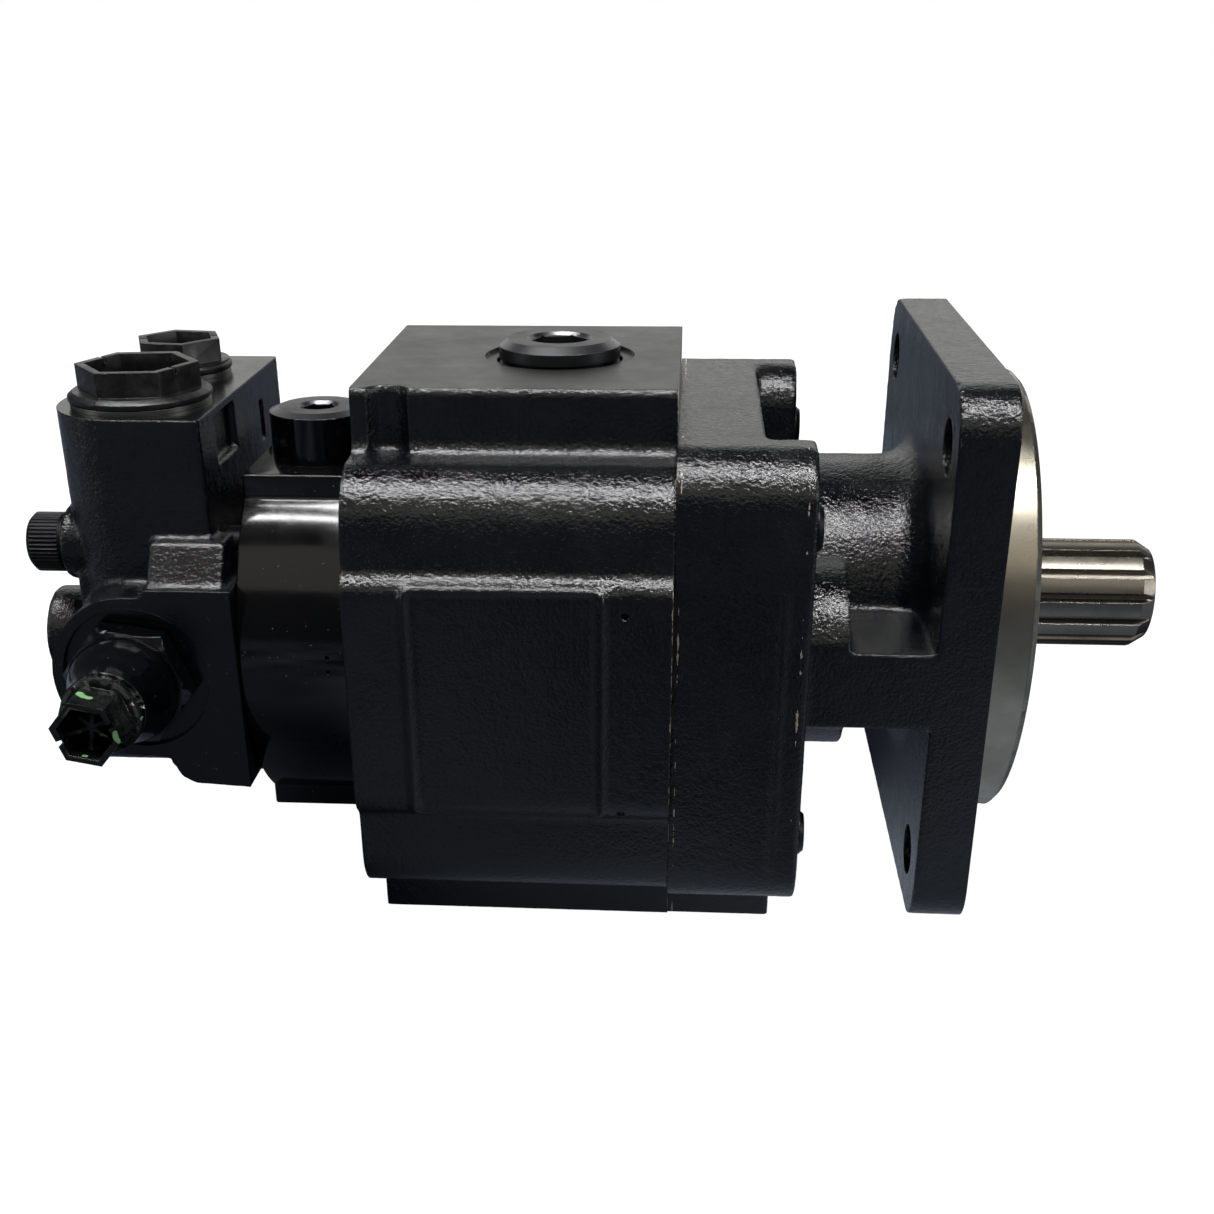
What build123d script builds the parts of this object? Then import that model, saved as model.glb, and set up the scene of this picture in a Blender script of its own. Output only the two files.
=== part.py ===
"""Gear-type hydraulic pump with a splined shaft, a four-bolt mounting flange and a rear valve block.

Millimetres. The origin is where the drive shaft's axis meets the flange's mounting face.
+X runs along the shaft towards its splined end, +Z is up, and the idler gear lies on the -Y side.
"""
from build123d import *
from math import acos, cos, pi, radians, sin, tan
import os

os.makedirs("parts", exist_ok=True)

# ---------------------------------------------------------------- driving dimensions
# gears
TEETH = 10
MODULE = 5.08
PRESSURE_ANGLE = 28.0
FLANK_THINNING = 0.15
CENTRE_DISTANCE = TEETH * MODULE
GEAR_TIP_R = (TEETH / 2 + 1) * MODULE
GEAR_ROOT_R = (TEETH / 2 - 1.25) * MODULE
GEAR_WIDTH = 57.15
PLATE_THICKNESS = 7.8
REAR_WALL = 8.05
TIP_CLEARANCE = 0.1
CHAMBER_R = GEAR_TIP_R + TIP_CLEARANCE
IDLER_Y = -CENTRE_DISTANCE
MID_Y = -CENTRE_DISTANCE / 2

# stations along the shaft, from the splined end to the rear
SHAFT_END_X = 56.0
PILOT_LENGTH = 12.7
FLANGE_THICKNESS = 14.5
LOBE_FACE_X = -48.0
PLATE_FACE_X = -60.0
HOUSING_FRONT_X = -81.7
CHAMBER_REAR_X = HOUSING_FRONT_X - GEAR_WIDTH - 2 * PLATE_THICKNESS
HOUSING_REAR_X = CHAMBER_REAR_X - REAR_WALL
REAR_COVER_X = HOUSING_REAR_X - 32.5

# mounting interface: SAE J744 C, four bolts, 14-tooth 12/24 DP spline
PILOT_R = 63.5
FLANGE_SIDE = 148.0
FLANGE_CORNER_R = 13.0
FLANGE_HOLE_R = 7.15
FLANGE_HOLE_PITCH = 114.5
SPLINE_TEETH = 14
SPLINE_MAJOR_R = 15.6
SPLINE_MINOR_R = 13.3

# shaft fits
JOURNAL_R = 18.5
RUNNING_CLEARANCE = 0.05
BUSHING_BORE_R = JOURNAL_R + RUNNING_CLEARANCE
BUSHING_R = 22.0
FRONT_BUSHING_LENGTH = 27.0
REAR_BUSHING_LENGTH = 25.0
IDLER_BUSHING_LENGTH = 22.0
SEAL_JOURNAL_R = 17.5
SEAL_BORE_R = 26.0

# castings
BODY_HALF_WIDTH = 67.1
BODY_HALF_HEIGHT = 57.0
COVER_TOP_Z = 62.0
COVER_BOTTOM_Z = -59.0
BODY_CORNER_R = 13.0
PORT_PAD_HALF_WIDTH = 44.4
PORT_PAD_Z = 73.0
PORT_X = -114.0
NECK_R = 39.5
IDLER_BOSS_R = 26.0
REAR_COVER_R = 52.5
REAR_PAD_HALF_WIDTH = 31.6
REAR_PAD_Z = 48.0

# fasteners
HOUSING_BOLT_Y = 52.0
HOUSING_BOLT_Z = 42.0
HOUSING_BOLT_R = 6.0
BLOCK_SCREW_Y = 24.6
BLOCK_SCREW_Z = 27.0
BLOCK_SCREW_R = 5.0
REAR_SCREW_R = 4.0

# valve block
BLOCK_TOP_Z = 64.0
BLOCK_FRONT_X = -202.0
BLOCK_BOSS_X = -223.3
BLOCK_BOSS_R = 21.5
BLOCK_NEAR_Y = -66.0
BLOCK_FAR_Y = 16.0
NEAR_PORT_Y = -44.6
FAR_PORT_Y = -8.0
SPOOL_X = -225.0
SPOOL_Z = -2.0
SPOOL_R = 8.0
VALVE_FACE_Y = -79.0
RELIEF_Y = -42.0


# ---------------------------------------------------------------- helpers
def disc(x_from, x_to, radius, y=0.0, z=0.0, mode=Mode.ADD):
    """A cylinder along X between two stations."""
    with Locations(((x_from + x_to) / 2, y, z)):
        Cylinder(radius, abs(x_to - x_from), rotation=(0, 90, 0), mode=mode)


def disc_y(y_from, y_to, radius, x, z, mode=Mode.ADD):
    """A cylinder along Y between two stations."""
    with Locations((x, (y_from + y_to) / 2, z)):
        Cylinder(radius, abs(y_to - y_from), rotation=(90, 0, 0), mode=mode)


def disc_z(z_from, z_to, radius, x, y, mode=Mode.ADD):
    """A cylinder along Z between two heights."""
    with Locations((x, y, (z_from + z_to) / 2)):
        Cylinder(radius, abs(z_to - z_from), mode=mode)


def block(x, y, z, mode=Mode.ADD):
    """A box given by its three (low, high) ranges."""
    with Locations(((x[0] + x[1]) / 2, (y[0] + y[1]) / 2, (z[0] + z[1]) / 2)):
        Box(x[1] - x[0], y[1] - y[0], z[1] - z[0], mode=mode)


def save(part, name):
    """Label one sub-part and write its file."""
    part.label = name
    export_step(part, f"parts/{name}.step")


def housing_bolt_places():
    """The four corner bolts, in (Y, Z)."""
    return [(MID_Y + sy * HOUSING_BOLT_Y, sz * HOUSING_BOLT_Z) for sy in (-1, 1) for sz in (-1, 1)]


def block_screw_places():
    """The four screws that hold the valve block, in (Y, Z)."""
    return [(MID_Y + sy * BLOCK_SCREW_Y, sz * BLOCK_SCREW_Z) for sy in (-1, 1) for sz in (-1, 1)]


REAR_SCREW_PLACES = [(-8.0, 41.3), (-8.0, -41.3), (-42.8, -41.3)]
FRONT_DOWEL_PLACES = [(MID_Y - 28.0, 50.0), (MID_Y + 28.0, -50.0)]
REAR_DOWEL_PLACES = [(MID_Y, -42.5), (MID_Y - 32.0, 33.0)]
DOWEL_R = 3.0


def flank_points(count=7):
    """Half-tooth outline of the gear: (radius, half angle) from the root to the tip."""
    alpha = radians(PRESSURE_ANGLE)
    pitch_r = TEETH * MODULE / 2
    base_r = pitch_r * cos(alpha)
    half_pitch_angle = pi / (2 * TEETH) - FLANK_THINNING / pitch_r
    involute = tan(alpha) - alpha
    points = [(GEAR_ROOT_R, half_pitch_angle + involute)]
    for i in range(count):
        r = base_r + (GEAR_TIP_R - base_r) * i / (count - 1)
        a = acos(base_r / r)
        points.append((r, half_pitch_angle + involute - (tan(a) - a)))
    return points


def polar(radius, angle):
    """A point in the sketch plane from its radius and angle in radians."""
    return (radius * cos(angle), radius * sin(angle))


def gear_tooth_face(angle):
    """One tooth as a sketch, standing on the root circle at an angle in radians."""
    rows = flank_points()
    with BuildSketch(Plane.XY) as tooth:
        with BuildLine():
            rising = [polar(r, angle - half) for r, half in rows[1:]]
            falling = [polar(r, angle + half) for r, half in rows[1:]]
            inner_low = polar(GEAR_ROOT_R - 1.0, angle - rows[0][1])
            inner_high = polar(GEAR_ROOT_R - 1.0, angle + rows[0][1])
            Line(inner_low, rising[0])
            Spline(*rising)
            ThreePointArc(rising[-1], polar(GEAR_TIP_R, angle), falling[-1])
            Spline(*reversed(falling))
            Line(falling[0], inner_high)
            Line(inner_high, inner_low)
        make_face()
    return tooth.sketch


def gear_solid(first_tooth_angle):
    """The toothed part of a gear, along X, centred on the origin of the YZ plane."""
    with BuildSketch(Plane.YZ.offset(CHAMBER_REAR_X + PLATE_THICKNESS)) as outline:
        Circle(GEAR_ROOT_R)
        for i in range(TEETH):
            add(gear_tooth_face(first_tooth_angle + 2 * pi * i / TEETH))
    with BuildPart() as gear:
        extrude(outline.sketch, amount=GEAR_WIDTH)
    return gear.part


def figure_eight(radius):
    """Two overlapping circles round the gear axes, as a sketch in (Y, Z)."""
    with BuildSketch(Plane.XY) as eight:
        with Locations((0, 0), (IDLER_Y, 0)):
            Circle(radius)
    return eight.sketch


def racetrack(outer_r, inner_r):
    """A closed band round both gears, as a sketch in (Y, Z)."""
    with BuildSketch(Plane.XY) as band:
        with Locations((MID_Y, 0)):
            SlotCenterToCenter(CENTRE_DISTANCE, 2 * outer_r)
            SlotCenterToCenter(CENTRE_DISTANCE, 2 * inner_r, mode=Mode.SUBTRACT)
    return band.sketch


def body_outline(bottom, top):
    """The rounded rectangle of the mounting cover or the gear housing, in (Y, Z)."""
    with BuildSketch(Plane.XY) as outline:
        with Locations((MID_Y, (bottom + top) / 2)):
            RectangleRounded(2 * BODY_HALF_WIDTH, top - bottom, BODY_CORNER_R)
    return outline.sketch


def ring_solid(x, y, z, major_r, section_r, direction):
    """An O-ring lying round an axis."""
    turns = {"X": (0, 90, 0), "Y": (90, 0, 0), "Z": (0, 0, 0)}
    with BuildPart() as ring:
        with Locations((x, y, z)):
            Torus(major_r, section_r, rotation=turns[direction])
    return ring.part


# ---------------------------------------------------------------- mounting cover
RIB_Z = (-13.0, 7.0)
NEAR_FACE_Y = -FLANGE_SIDE / 2
LOBE_R = 20.0
STRIP_WIDTH = 18.0
GROOVE_DEPTH = 2.2
SEAL_OUTER_R = 36.5
SEAL_INNER_R = 33.7
REAR_SEAL_OUTER_R = 26.3
REAR_SEAL_INNER_R = 24.0
IDLER_BOSS_X = -35.0
NECK_BLEND_R = 8.0

with BuildPart() as mounting_cover:
    with BuildSketch(Plane.YZ.offset(HOUSING_FRONT_X)):
        add(body_outline(COVER_BOTTOM_Z, COVER_TOP_Z))
    extrude(amount=PLATE_FACE_X - HOUSING_FRONT_X)
    # side strips and bolt lobes that stand forward of the plate
    with BuildSketch(Plane.YZ.offset(PLATE_FACE_X)):
        for side in (-1, 1):
            with Locations((MID_Y + side * (BODY_HALF_WIDTH - STRIP_WIDTH / 2), 0)):
                Rectangle(STRIP_WIDTH, 2 * HOUSING_BOLT_Z)
        with Locations(*housing_bolt_places()):
            Circle(LOBE_R)
        add(body_outline(COVER_BOTTOM_Z, COVER_TOP_Z), mode=Mode.INTERSECT)
    extrude(amount=LOBE_FACE_X - PLATE_FACE_X)
    # foot pad under the plate, level with the housing's
    block(
        (HOUSING_FRONT_X, LOBE_FACE_X - 5.0),
        (MID_Y - PORT_PAD_HALF_WIDTH, MID_Y + PORT_PAD_HALF_WIDTH),
        (-PORT_PAD_Z + 0.5, COVER_BOTTOM_Z + 5.0),
    )
    # neck round the shaft, boss over the idler bearing, and the near-side rib
    disc(PLATE_FACE_X, -FLANGE_THICKNESS, NECK_R)
    with BuildSketch(Plane.YZ.offset(PLATE_FACE_X)):
        with Locations((IDLER_Y, 0)):
            Circle(IDLER_BOSS_R)
        with Locations((NEAR_FACE_Y / 2, 0)):
            Rectangle(-NEAR_FACE_Y, 2 * IDLER_BOSS_R, mode=Mode.INTERSECT)
    extrude(amount=IDLER_BOSS_X - PLATE_FACE_X)
    block((PLATE_FACE_X, -FLANGE_THICKNESS), (NEAR_FACE_Y, -30.0), RIB_Z)
    # blend between the neck and the flange
    with BuildSketch(Plane.XZ):
        with BuildLine():
            blend_start = (-FLANGE_THICKNESS - NECK_BLEND_R, NECK_R)
            blend_end = (-FLANGE_THICKNESS, NECK_R + NECK_BLEND_R)
            blend_middle = (
                -FLANGE_THICKNESS - NECK_BLEND_R * (1 - sin(radians(45))),
                NECK_R + NECK_BLEND_R * (1 - cos(radians(45))),
            )
            ThreePointArc(blend_start, blend_middle, blend_end)
            Line(blend_end, (-FLANGE_THICKNESS + 1.0, NECK_R + NECK_BLEND_R))
            Line((-FLANGE_THICKNESS + 1.0, NECK_R + NECK_BLEND_R), (-FLANGE_THICKNESS + 1.0, NECK_R - 2.0))
            Line((-FLANGE_THICKNESS + 1.0, NECK_R - 2.0), (-FLANGE_THICKNESS - NECK_BLEND_R, NECK_R - 2.0))
            Line((-FLANGE_THICKNESS - NECK_BLEND_R, NECK_R - 2.0), blend_start)
        make_face()
    revolve(axis=Axis.X)
    # flange and pilot
    with BuildSketch(Plane.YZ.offset(-FLANGE_THICKNESS)):
        RectangleRounded(FLANGE_SIDE, FLANGE_SIDE, FLANGE_CORNER_R)
        with GridLocations(FLANGE_HOLE_PITCH, FLANGE_HOLE_PITCH, 2, 2):
            Circle(FLANGE_HOLE_R, mode=Mode.SUBTRACT)
    extrude(amount=FLANGE_THICKNESS)
    disc(0, PILOT_LENGTH, PILOT_R)
    chamfer(mounting_cover.edges().filter_by(GeomType.CIRCLE).sort_by(Axis.X)[-1], 1.5)
    # bores: bushings, shaft passage, seal
    disc(HOUSING_FRONT_X, HOUSING_FRONT_X + FRONT_BUSHING_LENGTH, BUSHING_R, mode=Mode.SUBTRACT)
    disc(HOUSING_FRONT_X, HOUSING_FRONT_X + IDLER_BUSHING_LENGTH, BUSHING_R, y=IDLER_Y, mode=Mode.SUBTRACT)
    disc(HOUSING_FRONT_X, PILOT_LENGTH, JOURNAL_R + 2.0, mode=Mode.SUBTRACT)
    disc(-10.0, PILOT_LENGTH, SEAL_BORE_R, mode=Mode.SUBTRACT)
    disc(0.5, 2.5, SEAL_BORE_R + 1.6, mode=Mode.SUBTRACT)
    # bolt holes and dowel holes
    for bolt_y, bolt_z in housing_bolt_places():
        disc(HOUSING_FRONT_X, LOBE_FACE_X, HOUSING_BOLT_R, bolt_y, bolt_z, Mode.SUBTRACT)
    for dowel_y, dowel_z in FRONT_DOWEL_PLACES:
        disc(HOUSING_FRONT_X, HOUSING_FRONT_X + 8.0, DOWEL_R, dowel_y, dowel_z, Mode.SUBTRACT)
save(mounting_cover.part, "mounting_cover")

# ---------------------------------------------------------------- gear housing
SIDE_BOSS_DEPTH = 4.0
SIDE_BOSS_Z = (-32.5, 34.0)
FRAME_X = (-147.0, -99.5)
FRAME_Z = (-29.0, 30.3)
FRAME_RELIEF = 0.8
PORT_CAVITY_R = 15.0
PLUG_THREAD_R = 16.5
SPOTFACE_R = 20.0
INLET_R = 15.9
INLET_DEPTH = 26.0
INLET_PASSAGE_R = 13.0
INLET_BOLT_R = 4.25
INLET_BOLT_X = 30.2
INLET_BOLT_Y = 58.7
GALLERY_Z = 33.0
GALLERY_R = 4.0
GALLERY_SEAL_R = 6.2
GALLERY_SEAL_DEPTH = 2.0
HEAD_R = 9.0
HEAD_DEPTH = 12.5
NOTCH_X = -153.3
NOTCH_R = 5.4

near_side_y = MID_Y - BODY_HALF_WIDTH
with BuildPart() as gear_housing:
    with BuildSketch(Plane.YZ.offset(HOUSING_REAR_X)):
        add(body_outline(-BODY_HALF_HEIGHT, BODY_HALF_HEIGHT))
        with Locations((MID_Y, 0)):
            Rectangle(2 * PORT_PAD_HALF_WIDTH, 2 * PORT_PAD_Z)
    extrude(amount=HOUSING_FRONT_X - HOUSING_REAR_X)
    # concave blend where each pad wall meets the shoulder
    corners = gear_housing.edges().filter_by(Axis.X).filter_by(
        lambda e: abs(abs(e.center().Z) - BODY_HALF_HEIGHT) < 0.1
        and abs(abs(e.center().Y - MID_Y) - PORT_PAD_HALF_WIDTH) < 0.1
    )
    fillet(corners, 3.5)
    # raised panel on both sides
    for side in (-1, 1):
        side_y = MID_Y + side * BODY_HALF_WIDTH
        edge_y = MID_Y + side * (BODY_HALF_WIDTH + SIDE_BOSS_DEPTH)
        block(
            (HOUSING_REAR_X, HOUSING_FRONT_X),
            (min(side_y, edge_y) - 2.0 * (side > 0), max(side_y, edge_y) + 2.0 * (side < 0)),
            SIDE_BOSS_Z,
        )
    boss_edges = gear_housing.edges().filter_by(Axis.X).filter_by(
        lambda e: abs(abs(e.center().Y - MID_Y) - BODY_HALF_WIDTH - SIDE_BOSS_DEPTH) < 0.1
    )
    fillet(boss_edges, 3.4)
    # shallow blank panel with a thin raised frame on the near side
    boss_y = near_side_y - SIDE_BOSS_DEPTH
    block(FRAME_X, (boss_y, boss_y + FRAME_RELIEF), FRAME_Z, mode=Mode.SUBTRACT)
    for hole_x, hole_z in ((-93.3, 25.2), (-94.0, -28.6)):
        disc_y(boss_y, boss_y + 2.0, 0.9, hole_x, hole_z, Mode.SUBTRACT)
    # half-round clearance notch in the pad wall
    disc_z(BODY_HALF_HEIGHT - 1.0, PORT_PAD_Z, NOTCH_R, NOTCH_X, MID_Y - PORT_PAD_HALF_WIDTH, Mode.SUBTRACT)
    # gear chamber
    with BuildSketch(Plane.YZ.offset(CHAMBER_REAR_X)):
        add(figure_eight(CHAMBER_R))
    extrude(amount=HOUSING_FRONT_X - CHAMBER_REAR_X, mode=Mode.SUBTRACT)
    for axis_y in (0.0, IDLER_Y):
        disc(HOUSING_REAR_X, CHAMBER_REAR_X, BUSHING_R, axis_y, 0.0, Mode.SUBTRACT)
    # ports: plugged on top, open underneath
    disc_z(5.0, PORT_PAD_Z, PORT_CAVITY_R, PORT_X, MID_Y, Mode.SUBTRACT)
    disc_z(PORT_PAD_Z - 17.0, PORT_PAD_Z, PLUG_THREAD_R, PORT_X, MID_Y, Mode.SUBTRACT)
    disc_z(PORT_PAD_Z - 1.0, PORT_PAD_Z, SPOTFACE_R, PORT_X, MID_Y, Mode.SUBTRACT)
    disc_z(-PORT_PAD_Z, -PORT_PAD_Z + INLET_DEPTH, INLET_R, PORT_X, MID_Y, Mode.SUBTRACT)
    disc_z(-PORT_PAD_Z, -5.0, INLET_PASSAGE_R, PORT_X, MID_Y, Mode.SUBTRACT)
    for sx in (-1, 1):
        for sy in (-1, 1):
            hole_x = PORT_X + sx * INLET_BOLT_X / 2
            hole_y = MID_Y + sy * INLET_BOLT_Y / 2
            disc_z(-PORT_PAD_Z, -PORT_PAD_Z + 18.0, INLET_BOLT_R, hole_x, hole_y, Mode.SUBTRACT)
    # pressure gallery towards the rear
    disc(HOUSING_REAR_X, PORT_X, GALLERY_R, MID_Y, GALLERY_Z, Mode.SUBTRACT)
    seal_end_x = HOUSING_REAR_X + GALLERY_SEAL_DEPTH
    disc(HOUSING_REAR_X, seal_end_x, GALLERY_SEAL_R, MID_Y, GALLERY_Z, Mode.SUBTRACT)
    # seal grooves in both end faces
    with BuildSketch(Plane.YZ.offset(HOUSING_FRONT_X - GROOVE_DEPTH)):
        add(racetrack(SEAL_OUTER_R, SEAL_INNER_R))
    extrude(amount=GROOVE_DEPTH, mode=Mode.SUBTRACT)
    with BuildSketch(Plane.YZ.offset(HOUSING_REAR_X)):
        add(racetrack(REAR_SEAL_OUTER_R, REAR_SEAL_INNER_R))
    extrude(amount=GROOVE_DEPTH, mode=Mode.SUBTRACT)
    # corner bolts with sunk heads, dowels, and the rear cover's screws
    for bolt_y, bolt_z in housing_bolt_places():
        disc(HOUSING_REAR_X, HOUSING_FRONT_X, HOUSING_BOLT_R, bolt_y, bolt_z, Mode.SUBTRACT)
        disc(HOUSING_REAR_X, HOUSING_REAR_X + HEAD_DEPTH, HEAD_R, bolt_y, bolt_z, Mode.SUBTRACT)
    for dowel_y, dowel_z in FRONT_DOWEL_PLACES:
        disc(HOUSING_FRONT_X - 8.0, HOUSING_FRONT_X, DOWEL_R, dowel_y, dowel_z, Mode.SUBTRACT)
    for dowel_y, dowel_z in REAR_DOWEL_PLACES:
        disc(HOUSING_REAR_X, HOUSING_REAR_X + 8.0, DOWEL_R, dowel_y, dowel_z, Mode.SUBTRACT)
    for screw_y, screw_z in REAR_SCREW_PLACES:
        disc(HOUSING_REAR_X, HOUSING_REAR_X + 16.0, REAR_SCREW_R, screw_y, screw_z, Mode.SUBTRACT)
save(gear_housing.part, "gear_housing")

# ---------------------------------------------------------------- rear cover
TOP_PLUG_X = -178.0
TOP_PLUG_Y = -36.0
TOP_PLUG_R = 13.2
TOP_PLUG_THREAD_R = 9.0
REAR_HEAD_R = 6.5
REAR_HEAD_DEPTH = 9.0

with BuildPart() as rear_cover:
    with BuildSketch(Plane.YZ.offset(REAR_COVER_X)):
        with Locations((MID_Y, 0)):
            Circle(REAR_COVER_R)
            Rectangle(2 * REAR_PAD_HALF_WIDTH, 2 * REAR_PAD_Z)
    extrude(amount=HOUSING_REAR_X - REAR_COVER_X)
    with BuildSketch(Plane.YZ.offset(REAR_COVER_X)):
        with Locations((MID_Y, 0)):
            Rectangle(4 * REAR_COVER_R, 2 * REAR_PAD_Z)
    extrude(amount=HOUSING_REAR_X - REAR_COVER_X, mode=Mode.INTERSECT)
    for axis_y in (0.0, IDLER_Y):
        disc(HOUSING_REAR_X - REAR_BUSHING_LENGTH, HOUSING_REAR_X, BUSHING_R, axis_y, 0.0, Mode.SUBTRACT)
    disc(REAR_COVER_X, HOUSING_REAR_X, GALLERY_R, MID_Y, GALLERY_Z, Mode.SUBTRACT)
    disc(REAR_COVER_X, REAR_COVER_X + GALLERY_SEAL_DEPTH, GALLERY_SEAL_R, MID_Y, GALLERY_Z, Mode.SUBTRACT)
    disc_z(GALLERY_Z + 2.0, REAR_PAD_Z, TOP_PLUG_THREAD_R, TOP_PLUG_X, TOP_PLUG_Y, Mode.SUBTRACT)
    for screw_y, screw_z in REAR_SCREW_PLACES:
        disc(REAR_COVER_X, HOUSING_REAR_X, REAR_SCREW_R, screw_y, screw_z, Mode.SUBTRACT)
        disc(REAR_COVER_X, REAR_COVER_X + REAR_HEAD_DEPTH, REAR_HEAD_R, screw_y, screw_z, Mode.SUBTRACT)
    for screw_y, screw_z in block_screw_places():
        disc(REAR_COVER_X, REAR_COVER_X + 20.0, BLOCK_SCREW_R, screw_y, screw_z, Mode.SUBTRACT)
    for dowel_y, dowel_z in REAR_DOWEL_PLACES:
        disc(HOUSING_REAR_X - 5.5, HOUSING_REAR_X, DOWEL_R, dowel_y, dowel_z, Mode.SUBTRACT)
save(rear_cover.part, "rear_cover")

# ---------------------------------------------------------------- valve block
VALVE_BOSS_R = 22.5
NEAR_PORT_R = 13.0
FAR_PORT_R = 10.5
PASSAGE_R = 4.0
NEAR_PASSAGE_Y = -38.0
FAR_PASSAGE_Y = -10.0
SCREW_SEAT_X = -246.0
RELIEF_BOSS_X = -256.0
LOWER_BOTTOM_Z = -36.0
FACE_LEFT_X = -214.0
FACE_Z = (-31.0, 22.5)
END_PLUG_R = 11.0
RELIEF_BORE_R = 5.0
RELIEF_SEAT_X = -238.0
FITTING_THREAD_R = 11.0

with BuildPart() as valve_block:
    # upper block with its near end rounded about the near port
    with BuildSketch(Plane.XY.offset(0)):
        with Locations((BLOCK_BOSS_X, NEAR_PORT_Y)):
            Circle(BLOCK_BOSS_R)
        with Locations(((BLOCK_BOSS_X + BLOCK_FRONT_X) / 2, (BLOCK_NEAR_Y + BLOCK_FAR_Y) / 2)):
            Rectangle(BLOCK_FRONT_X - BLOCK_BOSS_X, BLOCK_FAR_Y - BLOCK_NEAR_Y)
        with Locations((BLOCK_BOSS_X - BLOCK_BOSS_R / 2, (NEAR_PORT_Y + BLOCK_FAR_Y) / 2)):
            Rectangle(BLOCK_BOSS_R, BLOCK_FAR_Y - NEAR_PORT_Y)
    extrude(amount=BLOCK_TOP_Z)
    # lower block that joins the rear cover, with a rounded boss round the spool bore
    block(
        (BLOCK_BOSS_X - BLOCK_BOSS_R, REAR_COVER_X),
        (-64.0, BLOCK_FAR_Y),
        (LOWER_BOTTOM_Z, 26.0),
    )
    disc_y(VALVE_FACE_Y, BLOCK_FAR_Y, VALVE_BOSS_R, SPOOL_X, SPOOL_Z)
    block((SPOOL_X, REAR_COVER_X), (VALVE_FACE_Y, -60.0), (SPOOL_Z - 20.0, SPOOL_Z + VALVE_BOSS_R))
    block((FACE_LEFT_X, REAR_COVER_X), (VALVE_FACE_Y, -60.0), FACE_Z)
    # sloped lug above the machined face
    with BuildSketch(Plane.YZ.offset(-218.0)):
        with BuildLine():
            Polyline((-60.0, 20.0), (-77.0, 20.0), (-77.0, 25.0), (-66.0, 33.5), (-60.0, 33.5), close=True)
        make_face()
    extrude(amount=21.0)
    # bosses on the rear side
    disc(RELIEF_BOSS_X, BLOCK_BOSS_X, 13.0, RELIEF_Y, SPOOL_Z)
    for screw_y, screw_z in block_screw_places():
        disc(SCREW_SEAT_X, BLOCK_BOSS_X, 9.5, screw_y, screw_z)
    # the lower far edge follows the rear cover's round
    with BuildSketch(Plane.YZ.offset(RELIEF_BOSS_X)) as keep:
        with Locations((MID_Y, 0)):
            Circle(REAR_COVER_R + 1.5)
            with Locations((0, 50.0)):
                Rectangle(140.0, 120.0)
    extrude(amount=REAR_COVER_X - RELIEF_BOSS_X, mode=Mode.INTERSECT)
    # ports and passages
    disc_z(BLOCK_TOP_Z - 20.0, BLOCK_TOP_Z, NEAR_PORT_R, BLOCK_BOSS_X, NEAR_PORT_Y, Mode.SUBTRACT)
    disc_z(BLOCK_TOP_Z - 18.0, BLOCK_TOP_Z, FAR_PORT_R, BLOCK_BOSS_X, FAR_PORT_Y, Mode.SUBTRACT)
    disc_z(SPOOL_Z, BLOCK_TOP_Z - 18.0, PASSAGE_R, BLOCK_BOSS_X, NEAR_PASSAGE_Y, Mode.SUBTRACT)
    disc_z(SPOOL_Z, BLOCK_TOP_Z - 16.0, PASSAGE_R, BLOCK_BOSS_X, FAR_PASSAGE_Y, Mode.SUBTRACT)
    disc(BLOCK_BOSS_X, REAR_COVER_X, GALLERY_R, MID_Y, GALLERY_Z, Mode.SUBTRACT)
    disc_y(NEAR_PASSAGE_Y, FAR_PASSAGE_Y, PASSAGE_R, BLOCK_BOSS_X, GALLERY_Z, Mode.SUBTRACT)
    # spool bore, its end plug's counterbore and the fitting's thread
    disc_y(VALVE_FACE_Y, BLOCK_FAR_Y, SPOOL_R + RUNNING_CLEARANCE, SPOOL_X, SPOOL_Z, Mode.SUBTRACT)
    disc_y(VALVE_FACE_Y, VALVE_FACE_Y + 16.0, FITTING_THREAD_R, SPOOL_X, SPOOL_Z, Mode.SUBTRACT)
    disc_y(BLOCK_FAR_Y - 12.0, BLOCK_FAR_Y, END_PLUG_R, SPOOL_X, SPOOL_Z, Mode.SUBTRACT)
    # pilot relief bore, entering the spool bore through a small seat
    disc(RELIEF_BOSS_X, RELIEF_SEAT_X, RELIEF_BORE_R, RELIEF_Y, SPOOL_Z, Mode.SUBTRACT)
    disc(RELIEF_SEAT_X - 2.0, SPOOL_X, 2.0, RELIEF_Y, SPOOL_Z, Mode.SUBTRACT)
    for screw_y, screw_z in block_screw_places():
        disc(SCREW_SEAT_X, REAR_COVER_X, BLOCK_SCREW_R, screw_y, screw_z, Mode.SUBTRACT)
save(valve_block.part, "valve_block")

# ---------------------------------------------------------------- gears and shafts
DRIVE_PHASE = pi
IDLER_PHASE = pi + pi / TEETH
SPLINE_START_X = 8.0
END_CHAMFER = 4.0

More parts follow.
